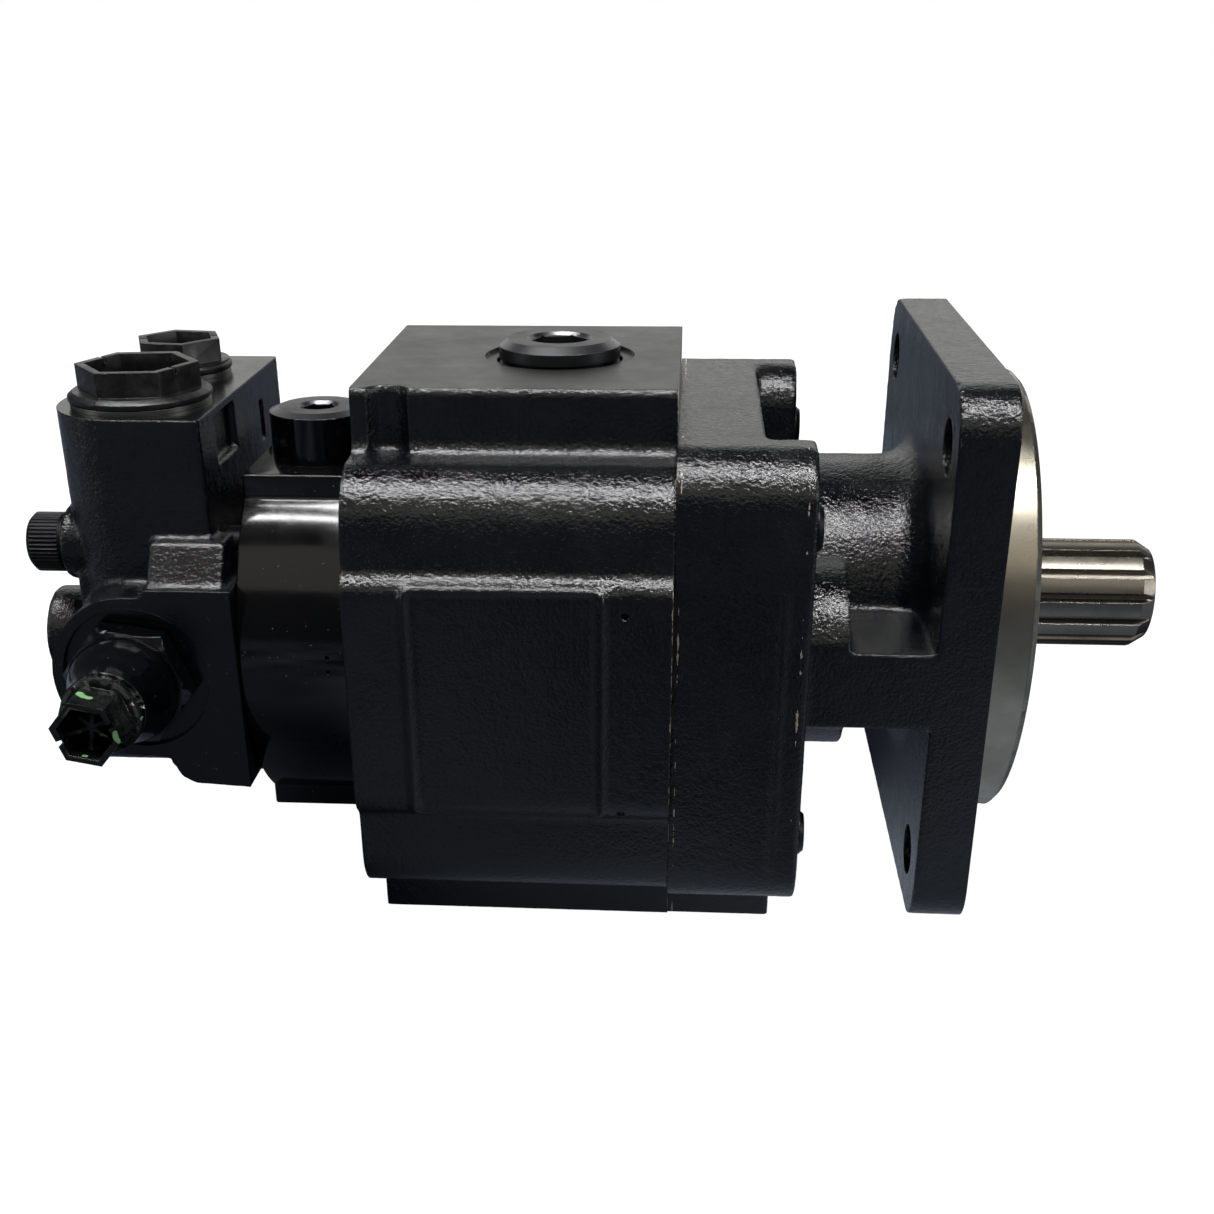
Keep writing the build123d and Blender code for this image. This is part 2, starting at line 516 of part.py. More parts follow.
with BuildPart() as drive_gear_shaft:
    add(gear_solid(DRIVE_PHASE))
    disc(HOUSING_REAR_X - REAR_BUSHING_LENGTH + 1.0, -14.0, JOURNAL_R)
    disc(-14.0, 4.0, SEAL_JOURNAL_R)
    disc(4.0, SPLINE_START_X, SPLINE_MINOR_R)
    # splined end with a tapered lead
    with BuildSketch(Plane.YZ.offset(SPLINE_START_X)):
        Circle(SPLINE_MAJOR_R)
        with PolarLocations(SPLINE_MAJOR_R, SPLINE_TEETH, start_angle=180 / SPLINE_TEETH):
            Trapezoid(2 * (SPLINE_MAJOR_R - SPLINE_MINOR_R), 4.2, 67, rotation=90, mode=Mode.SUBTRACT)
    extrude(amount=SHAFT_END_X - SPLINE_START_X)
    with BuildSketch(Plane.XZ):
        with BuildLine():
            Polyline(
                (SHAFT_END_X - END_CHAMFER, SPLINE_MAJOR_R + 0.01),
                (SHAFT_END_X, SPLINE_MINOR_R - 0.2),
                (SHAFT_END_X + 1.0, SPLINE_MINOR_R - 0.2),
                (SHAFT_END_X + 1.0, SPLINE_MAJOR_R + 2.0),
                (SHAFT_END_X - END_CHAMFER, SPLINE_MAJOR_R + 2.0),
                close=True,
            )
        make_face()
    revolve(axis=Axis.X, mode=Mode.SUBTRACT)
save(drive_gear_shaft.part, "drive_gear_shaft")

idler_gear = Pos(0, IDLER_Y, 0) * gear_solid(IDLER_PHASE)
with BuildPart() as idler_gear_shaft:
    add(idler_gear)
    disc(
        HOUSING_REAR_X - REAR_BUSHING_LENGTH + 1.0,
        HOUSING_FRONT_X + IDLER_BUSHING_LENGTH - 1.0,
        JOURNAL_R,
        y=IDLER_Y,
    )
save(idler_gear_shaft.part, "idler_gear_shaft")

# ---------------------------------------------------------------- thrust plates and plate seals
PLATE_GAP = 0.08
PLATE_SEAL_DEPTH = 1.6


def thrust_plate(face_x, inward):
    """A figure-eight side plate; face_x is the casting face, inward is the direction of the gears."""
    gear_side_x = face_x + inward * (PLATE_THICKNESS - PLATE_GAP)
    with BuildSketch(Plane.YZ.offset(min(face_x, gear_side_x))) as outline:
        add(figure_eight(CHAMBER_R - PLATE_GAP))
        with Locations((0, 0), (IDLER_Y, 0)):
            Circle(JOURNAL_R + 0.4, mode=Mode.SUBTRACT)
    with BuildPart() as plate:
        extrude(outline.sketch, amount=PLATE_THICKNESS - PLATE_GAP)
        # relief pockets on the gear side, at the mesh
        for sign in (-1, 1):
            pocket = (gear_side_x - 1.5, gear_side_x + 1.5)
            block(pocket, (MID_Y - 4.5, MID_Y + 4.5), (min(sign * 8, sign * 14), max(sign * 8, sign * 14)),
                  mode=Mode.SUBTRACT)
        # groove for the plate seal on the casting side
        with BuildSketch(Plane.YZ.offset(min(face_x, face_x + inward * PLATE_SEAL_DEPTH))) as groove:
            add(plate_seal_outline())
        extrude(groove.sketch, amount=PLATE_SEAL_DEPTH, mode=Mode.SUBTRACT)
    return plate.part


def plate_seal_outline():
    """The band of the plate seal round both shaft holes, in (Y, Z)."""
    with BuildSketch(Plane.XY) as band:
        add(figure_eight(CHAMBER_R - 3.0))
        add(figure_eight(CHAMBER_R - 5.5), mode=Mode.SUBTRACT)
    return band.sketch


def plate_seal(face_x, inward):
    """The rubber band in a thrust plate's groove."""
    with BuildSketch(Plane.YZ.offset(min(face_x, face_x + inward * PLATE_SEAL_DEPTH))) as outline:
        add(plate_seal_outline())
    with BuildPart() as seal:
        extrude(outline.sketch, amount=PLATE_SEAL_DEPTH)
    return seal.part


save(thrust_plate(HOUSING_FRONT_X, -1), "front_thrust_plate")
save(thrust_plate(CHAMBER_REAR_X, 1), "rear_thrust_plate")
save(plate_seal(HOUSING_FRONT_X, -1), "front_plate_seal")
save(plate_seal(CHAMBER_REAR_X, 1), "rear_plate_seal")


# ---------------------------------------------------------------- bushings
def bushing(x_from, x_to, axis_y):
    """A plain bearing sleeve with a lead chamfer and an oil groove."""
    with BuildPart() as sleeve:
        disc(x_from, x_to, BUSHING_R, axis_y)
        disc(x_from, x_to, BUSHING_BORE_R, axis_y, 0.0, Mode.SUBTRACT)
        block((x_from, x_to), (axis_y - 1.5, axis_y + 1.5), (BUSHING_BORE_R - 1.0, BUSHING_BORE_R + 1.2),
              mode=Mode.SUBTRACT)
    return sleeve.part


save(bushing(HOUSING_FRONT_X, HOUSING_FRONT_X + FRONT_BUSHING_LENGTH, 0.0), "front_drive_bushing")
save(bushing(HOUSING_FRONT_X, HOUSING_FRONT_X + IDLER_BUSHING_LENGTH, IDLER_Y), "front_idler_bushing")
save(bushing(HOUSING_REAR_X - REAR_BUSHING_LENGTH, CHAMBER_REAR_X, 0.0), "rear_drive_bushing")
save(bushing(HOUSING_REAR_X - REAR_BUSHING_LENGTH, CHAMBER_REAR_X, IDLER_Y), "rear_idler_bushing")

# ---------------------------------------------------------------- shaft seal and its ring
with BuildPart() as shaft_seal:
    with BuildSketch(Plane.XZ):
        with BuildLine():
            Polyline(
                (-9.5, SEAL_BORE_R),
                (0.0, SEAL_BORE_R),
                (0.0, SEAL_JOURNAL_R + 1.2),
                (-1.2, SEAL_JOURNAL_R + 1.2),
                (-1.6, SEAL_BORE_R - 3.0),
                (-4.0, SEAL_BORE_R - 3.0),
                (-5.5, SEAL_JOURNAL_R + RUNNING_CLEARANCE),
                (-6.5, SEAL_JOURNAL_R + RUNNING_CLEARANCE),
                (-9.5, SEAL_BORE_R - 4.5),
                close=True,
            )
        make_face()
    revolve(axis=Axis.X)
save(shaft_seal.part, "shaft_seal")

with BuildPart() as seal_retaining_ring:
    disc(0.6, 2.4, SEAL_BORE_R + 1.5)
    disc(0.6, 2.4, SEAL_BORE_R - 2.0, mode=Mode.SUBTRACT)
    block((0.0, 3.0), (-5.0, 5.0), (SEAL_BORE_R - 6.0, SEAL_BORE_R + 3.0), mode=Mode.SUBTRACT)
save(seal_retaining_ring.part, "seal_retaining_ring")

# ---------------------------------------------------------------- face seals, dowels
for seal_name, seal_x, outer_r, inner_r in (
    ("front_face_seal", HOUSING_FRONT_X - GROOVE_DEPTH, SEAL_OUTER_R, SEAL_INNER_R),
    ("rear_face_seal", HOUSING_REAR_X, REAR_SEAL_OUTER_R, REAR_SEAL_INNER_R),
):
    with BuildSketch(Plane.YZ.offset(seal_x)) as seal_outline:
        add(racetrack(outer_r, inner_r))
    with BuildPart() as face_seal:
        extrude(seal_outline.sketch, amount=GROOVE_DEPTH)
    save(face_seal.part, seal_name)

gallery_ring_r = GALLERY_SEAL_DEPTH / 2 - 0.02
with BuildPart() as gallery_face_seals:
    for seal_x in (HOUSING_REAR_X + GALLERY_SEAL_DEPTH / 2, REAR_COVER_X + GALLERY_SEAL_DEPTH / 2):
        with Locations((seal_x, MID_Y, GALLERY_Z)):
            Torus(GALLERY_SEAL_R - GALLERY_SEAL_DEPTH / 2 - 0.02, gallery_ring_r, rotation=(0, 90, 0))
save(gallery_face_seals.part, "gallery_face_seals")

for dowel_name, joint_x, places in (
    ("front_dowels", HOUSING_FRONT_X, FRONT_DOWEL_PLACES),
    ("rear_dowels", HOUSING_REAR_X, REAR_DOWEL_PLACES),
):
    with BuildPart() as dowels:
        for dowel_y, dowel_z in places:
            disc(joint_x - 5.0, joint_x + 7.5, DOWEL_R, dowel_y, dowel_z)
    save(dowels.part, dowel_name)


# ---------------------------------------------------------------- screws
def cap_screws(places, head_x, head_r, head_length, shank_r, tip_x, socket_flats):
    """Socket-head cap screws along X: the head lies behind head_x, the shank runs to tip_x."""
    with BuildPart() as screws:
        for screw_y, screw_z in places:
            disc(head_x - head_length, head_x, head_r, screw_y, screw_z)
            disc(head_x, tip_x, shank_r, screw_y, screw_z)
        chamfer(
            screws.edges().filter_by(GeomType.CIRCLE).filter_by(
                lambda e: abs(e.center().X - tip_x) < 0.01
            ),
            1.0,
        )
        with BuildSketch(Plane.YZ.offset(head_x - head_length)) as sockets:
            with Locations(*places):
                RegularPolygon(socket_flats / 2, 6, major_radius=False)
        extrude(sockets.sketch, amount=head_length * 0.55, mode=Mode.SUBTRACT)
    return screws.part


save(
    cap_screws(
        housing_bolt_places(), HOUSING_REAR_X + HEAD_DEPTH, HEAD_R - 0.4, 12.0, HOUSING_BOLT_R,
        LOBE_FACE_X + 2.2, 10.0,
    ),
    "housing_bolts",
)
save(
    cap_screws(
        REAR_SCREW_PLACES, REAR_COVER_X + REAR_HEAD_DEPTH, REAR_HEAD_R - 0.2, 8.0, REAR_SCREW_R,
        HOUSING_REAR_X + 15.0, 6.0,
    ),
    "rear_cover_screws",
)
save(
    cap_screws(block_screw_places(), SCREW_SEAT_X, 8.0, 10.0, BLOCK_SCREW_R, REAR_COVER_X + 19.0, 8.0),
    "block_screws",
)

# ---------------------------------------------------------------- plugs in the pads
PLUG_HEAD_R = 16.8
PLUG_HEAD_TOP_Z = 78.5

with BuildPart() as top_port_plug:
    disc_z(PORT_PAD_Z - 1.0, PLUG_HEAD_TOP_Z, PLUG_HEAD_R, PORT_X, MID_Y)
    chamfer(top_port_plug.faces().sort_by(Axis.Z)[-1].edges(), 2.2)
    disc_z(PORT_PAD_Z - 4.0, PORT_PAD_Z - 1.0, PLUG_THREAD_R - 2.4, PORT_X, MID_Y)
    disc_z(PORT_PAD_Z - 16.0, PORT_PAD_Z - 4.0, PLUG_THREAD_R, PORT_X, MID_Y)
    with BuildSketch(Plane.XY.offset(PLUG_HEAD_TOP_Z - 9.0)):
        with Locations((PORT_X, MID_Y)):
            RegularPolygon(7.0, 6, major_radius=False, rotation=10)
    extrude(amount=9.0, mode=Mode.SUBTRACT)
save(top_port_plug.part, "top_port_plug")
save(ring_solid(PORT_X, MID_Y, PORT_PAD_Z - 2.5, PLUG_THREAD_R - 1.2, 1.15, "Z"), "top_plug_seal")

GALLERY_PLUG_TOP_Z = 61.5
with BuildPart() as gallery_plug:
    disc_z(REAR_PAD_Z, GALLERY_PLUG_TOP_Z, TOP_PLUG_R, TOP_PLUG_X, TOP_PLUG_Y)
    chamfer(gallery_plug.faces().sort_by(Axis.Z)[-1].edges(), length=2.4, length2=0.8)
    disc_z(REAR_PAD_Z - 3.0, REAR_PAD_Z, TOP_PLUG_THREAD_R - 2.2, TOP_PLUG_X, TOP_PLUG_Y)
    disc_z(REAR_PAD_Z - 11.0, REAR_PAD_Z - 3.0, TOP_PLUG_THREAD_R, TOP_PLUG_X, TOP_PLUG_Y)
    with BuildSketch(Plane.XY.offset(GALLERY_PLUG_TOP_Z - 7.0)):
        with Locations((TOP_PLUG_X, TOP_PLUG_Y)):
            RegularPolygon(4.2, 6, major_radius=False)
    extrude(amount=7.0, mode=Mode.SUBTRACT)
save(gallery_plug.part, "gallery_plug")
save(
    ring_solid(TOP_PLUG_X, TOP_PLUG_Y, REAR_PAD_Z - 1.5, TOP_PLUG_THREAD_R - 1.1, 1.05, "Z"),
    "gallery_plug_seal",
)


# ---------------------------------------------------------------- hollow-hex port caps
def port_cap(flange_r, thread_r, across_flats, hex_top, flange_top, turn):
    """A threaded shipping cap standing on z = 0: thread below, round flange, open hexagonal cup above."""
    wall = across_flats * 0.11
    with BuildPart() as cap:
        disc_z(0.0, flange_top, flange_r, 0.0, 0.0)
        disc_z(-12.0, 0.0, thread_r, 0.0, 0.0)
        with BuildSketch(Plane.XY.offset(flange_top)):
            RegularPolygon(across_flats / 2, 6, major_radius=False, rotation=turn)
        extrude(amount=hex_top - flange_top)
        with BuildSketch(Plane.XY.offset(-9.0)):
            RegularPolygon(across_flats / 2 - wall, 6, major_radius=False, rotation=turn)
        extrude(amount=hex_top + 9.0, mode=Mode.SUBTRACT)
    return cap.part


NEAR_CAP_SEAT_Z = BLOCK_TOP_Z + 1.2
NEAR_CAP_FLANGE_R = 18.6
FAR_CAP_FLANGE_R = 14.0

CAP_FLANGE_TOP = 2.6
NEAR_TURN = 7
FAR_TURN = 51

near_cap = port_cap(NEAR_CAP_FLANGE_R, NEAR_PORT_R, 28.0, 8.9, CAP_FLANGE_TOP, NEAR_TURN)
save(Pos(BLOCK_BOSS_X, NEAR_PORT_Y, NEAR_CAP_SEAT_Z) * near_cap, "near_port_cap")
far_cap = port_cap(FAR_CAP_FLANGE_R, FAR_PORT_R, 21.5, 8.6, CAP_FLANGE_TOP, FAR_TURN)
save(Pos(BLOCK_BOSS_X, FAR_PORT_Y, NEAR_CAP_SEAT_Z) * far_cap, "far_port_cap")

for washer_name, washer_y, outer_r, inner_r in (
    ("near_cap_washer", NEAR_PORT_Y, NEAR_CAP_FLANGE_R - 0.4, NEAR_PORT_R),
    ("far_cap_washer", FAR_PORT_Y, FAR_CAP_FLANGE_R - 0.4, FAR_PORT_R),
):
    with BuildPart() as washer:
        disc_z(BLOCK_TOP_Z, NEAR_CAP_SEAT_Z, outer_r, BLOCK_BOSS_X, washer_y)
        disc_z(BLOCK_TOP_Z, NEAR_CAP_SEAT_Z, inner_r, BLOCK_BOSS_X, washer_y, Mode.SUBTRACT)
    save(washer.part, washer_name)

# ---------------------------------------------------------------- fitting in the valve face
FITTING_HEX_END_Y = VALVE_FACE_Y - 5.0
FITTING_END_Y = VALVE_FACE_Y - 20.0
FITTING_TIP_R = 10.0
FITTING_BORE_R = 7.0

with BuildPart() as port_fitting:
    with BuildSketch(Plane.XZ.offset(-VALVE_FACE_Y)):
        with Locations((SPOOL_X, SPOOL_Z)):
            RegularPolygon(15.0, 6, major_radius=False, rotation=52)
    extrude(amount=5.0)
    with BuildSketch(Plane.XY.offset(SPOOL_Z)):
        with BuildLine():
            Line((SPOOL_X, FITTING_HEX_END_Y + 1.0), (SPOOL_X + 14.4, FITTING_HEX_END_Y + 1.0))
            Line((SPOOL_X + 14.4, FITTING_HEX_END_Y + 1.0), (SPOOL_X + 14.4, FITTING_HEX_END_Y - 1.0))
            Spline(
                (SPOOL_X + 14.4, FITTING_HEX_END_Y - 1.0),
                (SPOOL_X + 13.2, FITTING_HEX_END_Y - 6.0),
                (SPOOL_X + 10.6, FITTING_END_Y + 4.0),
                (SPOOL_X + FITTING_TIP_R, FITTING_END_Y),
            )
            Line((SPOOL_X + FITTING_TIP_R, FITTING_END_Y), (SPOOL_X, FITTING_END_Y))
            Line((SPOOL_X, FITTING_END_Y), (SPOOL_X, FITTING_HEX_END_Y + 1.0))
        make_face()
    revolve(axis=Axis((SPOOL_X, 0, SPOOL_Z), (0, 1, 0)))
    disc_y(VALVE_FACE_Y, VALVE_FACE_Y + 14.0, FITTING_THREAD_R, SPOOL_X, SPOOL_Z)
    disc_y(FITTING_END_Y, FITTING_END_Y + 15.0, FITTING_BORE_R, SPOOL_X, SPOOL_Z, Mode.SUBTRACT)
    disc_y(FITTING_END_Y, VALVE_FACE_Y + 14.0, 3.0, SPOOL_X, SPOOL_Z, Mode.SUBTRACT)
save(port_fitting.part, "port_fitting")

fitting_cap = port_cap(10.4, FITTING_BORE_R, 15.6, 13.5, 2.4, 20)
save(Pos(SPOOL_X, FITTING_END_Y, SPOOL_Z) * Rot(90, 0, 0) * fitting_cap, "fitting_cap")

# ---------------------------------------------------------------- spool, its spring and end plug
SPOOL_REST_Y = VALVE_FACE_Y + 17.0
SPOOL_LENGTH = 46.0
SPOOL_FAR_END_Y = SPOOL_REST_Y + SPOOL_LENGTH
END_PLUG_INNER_Y = BLOCK_FAR_Y - 12.0
SPRING_WIRE_R = 0.8

with BuildPart() as control_spool:
    disc_y(SPOOL_REST_Y, SPOOL_FAR_END_Y, SPOOL_R, SPOOL_X, SPOOL_Z)
    for groove_y in (SPOOL_REST_Y + 9.0, SPOOL_REST_Y + 27.0):
        with BuildSketch(Plane.XZ.offset(-groove_y - 9.0)):
            with Locations((SPOOL_X, SPOOL_Z)):
                Circle(SPOOL_R)
                Circle(4.5, mode=Mode.SUBTRACT)
        extrude(amount=9.0, mode=Mode.SUBTRACT)
    disc_y(SPOOL_FAR_END_Y, SPOOL_FAR_END_Y + 4.0, 3.5, SPOOL_X, SPOOL_Z)
save(control_spool.part, "control_spool")

spring_length = END_PLUG_INNER_Y - SPOOL_FAR_END_Y - 2 * SPRING_WIRE_R
spring_start = Vector(SPOOL_X, SPOOL_FAR_END_Y + SPRING_WIRE_R, SPOOL_Z)


def coil_spring(start, length, coil_r, wire_r, turns, direction):
    """A plain compression spring along a direction."""
    with BuildPart() as spring:
        with BuildLine():
            Helix(length / turns, length, coil_r, center=start, direction=direction)
        path_wire = spring.pending_edges[0]
        with BuildSketch(Plane(path_wire @ 0, z_dir=path_wire % 0)):
            Circle(wire_r)
        sweep()
    return spring.part


save(coil_spring(spring_start, spring_length, 5.6, SPRING_WIRE_R, 5, (0, 1, 0)), "spool_spring")

with BuildPart() as spool_end_plug:
    disc_y(END_PLUG_INNER_Y, BLOCK_FAR_Y, END_PLUG_R, SPOOL_X, SPOOL_Z)
    disc_y(BLOCK_FAR_Y, BLOCK_FAR_Y + 4.0, 14.0, SPOOL_X, SPOOL_Z)
    chamfer(spool_end_plug.faces().sort_by(Axis.Y)[-1].edges(), 1.0)
    with BuildSketch(Plane.XZ.offset(-BLOCK_FAR_Y - 4.0)):
        with Locations((SPOOL_X, SPOOL_Z)):
            RegularPolygon(5.0, 6, major_radius=False)
    extrude(amount=7.0, mode=Mode.SUBTRACT)
save(spool_end_plug.part, "spool_end_plug")

# ---------------------------------------------------------------- pilot relief: poppet, spring and plug
POPPET_BACK_X = -245.5
RELIEF_PLUG_X = -250.5

with BuildPart() as relief_poppet:
    with BuildSketch(Plane.XY.offset(SPOOL_Z)):
        with BuildLine():
            Polyline(
                (RELIEF_SEAT_X + 1.4, RELIEF_Y),
                (RELIEF_SEAT_X - 1.2, RELIEF_Y + 3.6),
                (RELIEF_SEAT_X - 2.2, RELIEF_Y + 4.9),
                (POPPET_BACK_X, RELIEF_Y + 4.9),
                (POPPET_BACK_X, RELIEF_Y),
                close=True,
            )
        make_face()
    revolve(axis=Axis((0, RELIEF_Y, SPOOL_Z), (1, 0, 0)))
save(relief_poppet.part, "relief_poppet")

relief_spring_start = Vector(RELIEF_PLUG_X + 0.5, RELIEF_Y, SPOOL_Z)
relief_spring_length = POPPET_BACK_X - RELIEF_PLUG_X - 1.0
save(coil_spring(relief_spring_start, relief_spring_length, 3.6, 0.4, 2.5, (1, 0, 0)), "relief_spring")

with BuildPart() as relief_plug:
    disc(RELIEF_BOSS_X, RELIEF_PLUG_X, RELIEF_BORE_R, RELIEF_Y, SPOOL_Z)
    with BuildSketch(Plane.YZ.offset(RELIEF_BOSS_X)) as relief_socket:
        with Locations((RELIEF_Y, SPOOL_Z)):
            RegularPolygon(2.5, 6, major_radius=False)
    extrude(relief_socket.sketch, amount=3.5, mode=Mode.SUBTRACT)
save(relief_plug.part, "relief_plug")
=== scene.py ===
"""The look of the hydraulic gear pump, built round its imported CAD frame.

Blender works in metres. Sizes below are in millimetres in the CAD's frame. The origin is where the
drive shaft meets the flange's mounting face, +X runs to the splined end, +Z is up, and the camera is
on the -Y side.
"""
import math

import bmesh
import bpy
import numpy as np
from mathutils import Matrix, Vector


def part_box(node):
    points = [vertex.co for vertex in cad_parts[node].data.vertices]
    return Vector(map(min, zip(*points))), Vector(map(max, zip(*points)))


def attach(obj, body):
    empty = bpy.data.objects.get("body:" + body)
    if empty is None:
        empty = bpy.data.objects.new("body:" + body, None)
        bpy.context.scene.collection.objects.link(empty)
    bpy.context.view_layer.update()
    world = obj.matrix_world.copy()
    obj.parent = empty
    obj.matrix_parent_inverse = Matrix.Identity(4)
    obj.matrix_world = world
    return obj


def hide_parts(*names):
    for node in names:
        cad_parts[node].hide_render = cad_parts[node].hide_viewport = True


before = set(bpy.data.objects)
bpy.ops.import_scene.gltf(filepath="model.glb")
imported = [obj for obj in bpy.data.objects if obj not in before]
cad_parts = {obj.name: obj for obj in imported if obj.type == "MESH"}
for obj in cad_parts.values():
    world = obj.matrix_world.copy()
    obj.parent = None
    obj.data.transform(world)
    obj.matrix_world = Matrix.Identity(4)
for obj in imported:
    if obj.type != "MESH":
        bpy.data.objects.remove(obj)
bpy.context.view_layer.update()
MM = 0.001


# ---------------------------------------------------------------- places taken from the frame
def box_mm(node):
    """(low, high) corners of a CAD node, in millimetres."""
    low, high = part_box(node)
    return low / MM, high / MM


COVER_LOW, COVER_HIGH = box_mm("mounting_cover")
HOUSING_LOW, HOUSING_HIGH = box_mm("gear_housing")
REAR_LOW, REAR_HIGH = box_mm("rear_cover")
VALVE_LOW, VALVE_HIGH = box_mm("valve_block")
MID_Y = (HOUSING_LOW.y + HOUSING_HIGH.y) / 2
IDLER_Y = 2 * MID_Y
FLANGE_HALF = COVER_HIGH.z
PILOT_R = 63.5
PILOT_X = COVER_HIGH.x
FLANGE_T = 14.5
PLATE_X = -60.0
LOBE_X = -48.0
FRONT_X = COVER_LOW.x
REAR_X = HOUSING_LOW.x
HALF_W = 67.1
COVER_TOP = 62.0
COVER_BOTTOM = -59.0
HALF_H = 57.0


# ---------------------------------------------------------------- mesh helpers, all in millimetres
def place(center, axis="Z"):
    """A matrix that stands a shape's own Z axis along an axis of the frame, at a centre."""
    turn = {"Z": Matrix.Identity(4), "X": Matrix.Rotation(math.pi / 2, 4, "Y"),
            "Y": Matrix.Rotation(math.pi / 2, 4, "X")}[axis]
    return Matrix.Translation(Vector(center)) @ turn


def add_box(bm, x, y, z):
    """A box given by its three (low, high) ranges."""
    size = Matrix.Diagonal((x[1] - x[0], y[1] - y[0], z[1] - z[0], 1))
    at = Matrix.Translation(((x[0] + x[1]) / 2, (y[0] + y[1]) / 2, (z[0] + z[1]) / 2))
    bmesh.ops.create_cube(bm, size=1.0, matrix=at @ size)


def add_disc(bm, axis, span, at, radius, radius2=None, segments=96):
    """A cylinder or cone along an axis; at gives the two other coordinates in X, Y, Z order."""
    mid = (span[0] + span[1]) / 2
    center = {"X": (mid, at[0], at[1]), "Y": (at[0], mid, at[1]), "Z": (at[0], at[1], mid)}[axis]
    r1, r2 = radius, radius if radius2 is None else radius2
    if axis == "Y":
        r1, r2 = r2, r1
    bmesh.ops.create_cone(bm, cap_ends=True, segments=segments, radius1=r1, radius2=r2,
                          depth=abs(span[1] - span[0]), matrix=place(center, axis))


def add_prism(bm, axis, span, outline):
    """A closed outline pushed along an axis; the outline is in the two other coordinates."""
    def point(u, v, w):
        return {"X": (w, u, v), "Y": (u, w, v), "Z": (u, v, w)}[axis]
    rings = [[bm.verts.new(point(u, v, w)) for u, v in outline] for w in span]
    n = len(outline)
    faces = [bm.faces.new(rings[0]), bm.faces.new(rings[1])]
    for i in range(n):
        faces.append(bm.faces.new((rings[0][i], rings[0][(i + 1) % n], rings[1][(i + 1) % n], rings[1][i])))
    bmesh.ops.recalc_face_normals(bm, faces=faces)


def rounded(u, v, radius, steps=8):
    """A rounded rectangle as a list of points; u and v are (low, high)."""
    points = []
    corners = ((u[1] - radius, v[1] - radius, 0), (u[0] + radius, v[1] - radius, 90),
               (u[0] + radius, v[0] + radius, 180), (u[1] - radius, v[0] + radius, 270))
    for cu, cv, start in corners:
        for i in range(steps + 1):
            a = math.radians(start + 90 * i / steps)
            points.append((cu + radius * math.cos(a), cv + radius * math.sin(a)))
    return points


def polygon(center, radius, sides, turn=0.0):
    """A regular polygon as a list of points; radius is to the corners."""
    angles = [math.radians(turn + 360 * i / sides) for i in range(sides)]
    return [(center[0] + radius * math.cos(a), center[1] + radius * math.sin(a)) for a in angles]


def to_object(name, bm):
    """A linked object from a mesh in millimetres."""
    mesh = bpy.data.meshes.new(name)
    bm.to_mesh(mesh)
    bm.free()
    obj = bpy.data.objects.new(name, mesh)
    bpy.context.scene.collection.objects.link(obj)
    return obj


def apply_modifiers(obj):
    """Bakes an object's modifiers into its mesh."""
    graph = bpy.context.evaluated_depsgraph_get()
    mesh = bpy.data.meshes.new_from_object(obj.evaluated_get(graph), depsgraph=graph)
    old = obj.data
    obj.modifiers.clear()
    obj.data = mesh
    bpy.data.meshes.remove(old)
    return obj


def boolean(obj, cutter, operation="DIFFERENCE"):
    """Cuts an object with another and removes the cutter."""
    mod = obj.modifiers.new("cut", "BOOLEAN")
    mod.operation = operation
    mod.solver = "MANIFOLD"
    mod.object = cutter
    apply_modifiers(obj)
    bpy.data.objects.remove(cutter, do_unlink=True)
    return obj


def cast(obj, voxel, smooth_steps):
    """Melts overlapping solids into one casting with rounded edges and corners."""
    mod = obj.modifiers.new("remesh", "REMESH")
    mod.mode = "VOXEL"
    mod.voxel_size = voxel
    mod.adaptivity = 0.0
    mod = obj.modifiers.new("smooth", "SMOOTH")
    mod.factor = 0.5
    mod.iterations = smooth_steps
    return apply_modifiers(obj)


def arrays(mesh):
    """Vertex positions and normals of a mesh as arrays."""
    n = len(mesh.vertices)
    co = np.empty(n * 3)
    no = np.empty(n * 3)
    mesh.vertices.foreach_get("co", co)
    mesh.vertex_normals.foreach_get("vector", no)
    return co.reshape(n, 3), no.reshape(n, 3)


def roughen(obj, coarse, fine):
    """Pushes the skin in and out like sand-cast iron; coarse and fine are (size, height) in millimetres."""
    for i, (size, height) in enumerate((coarse, fine)):
        texture = bpy.data.textures.new(f"{obj.name}_cast_{i}", "CLOUDS")
        texture.noise_scale = size
        texture.noise_depth = 2
        mod = obj.modifiers.new(f"cast_{i}", "DISPLACE")
        mod.texture = texture
        mod.texture_coords = "LOCAL"
        mod.strength = height
        mod.mid_level = 0.5
    return apply_modifiers(obj)


def cut(obj, build):
    """Removes the shape that build(bm) makes."""
    bm = bmesh.new()
    build(bm)
    return boolean(obj, to_object("cutter", bm))


def hole(obj, axis, span, at, radius, segments=64):
    """Drills one round hole."""
    return cut(obj, lambda bm: add_disc(bm, axis, span, at, radius, segments=segments))


def beyond(obj, axis, limit, side):
    """Machines a casting flat: everything beyond limit on that side of the axis goes."""
    far = 400.0
    span = (limit, limit + side * far)
    spans = {a: (-far, far) for a in "XYZ"}
    spans[axis] = (min(span), max(span))
    return cut(obj, lambda bm: add_box(bm, spans["X"], spans["Y"], spans["Z"]))


def shade(obj, angle=32.0):
    """Smooth shading that stays sharp over an angle in degrees."""
    mesh = obj.data
    mesh.polygons.foreach_set("use_smooth", [True] * len(mesh.polygons))
    bm = bmesh.new()
    bm.from_mesh(mesh)
    limit = math.radians(angle)
    for edge in bm.edges:
        faces = edge.link_faces
        edge.smooth = (len(faces) == 2 and edge.calc_face_angle(0.0) < limit
                       and faces[0].material_index == faces[1].material_index)
    bm.to_mesh(mesh)
    bm.free()


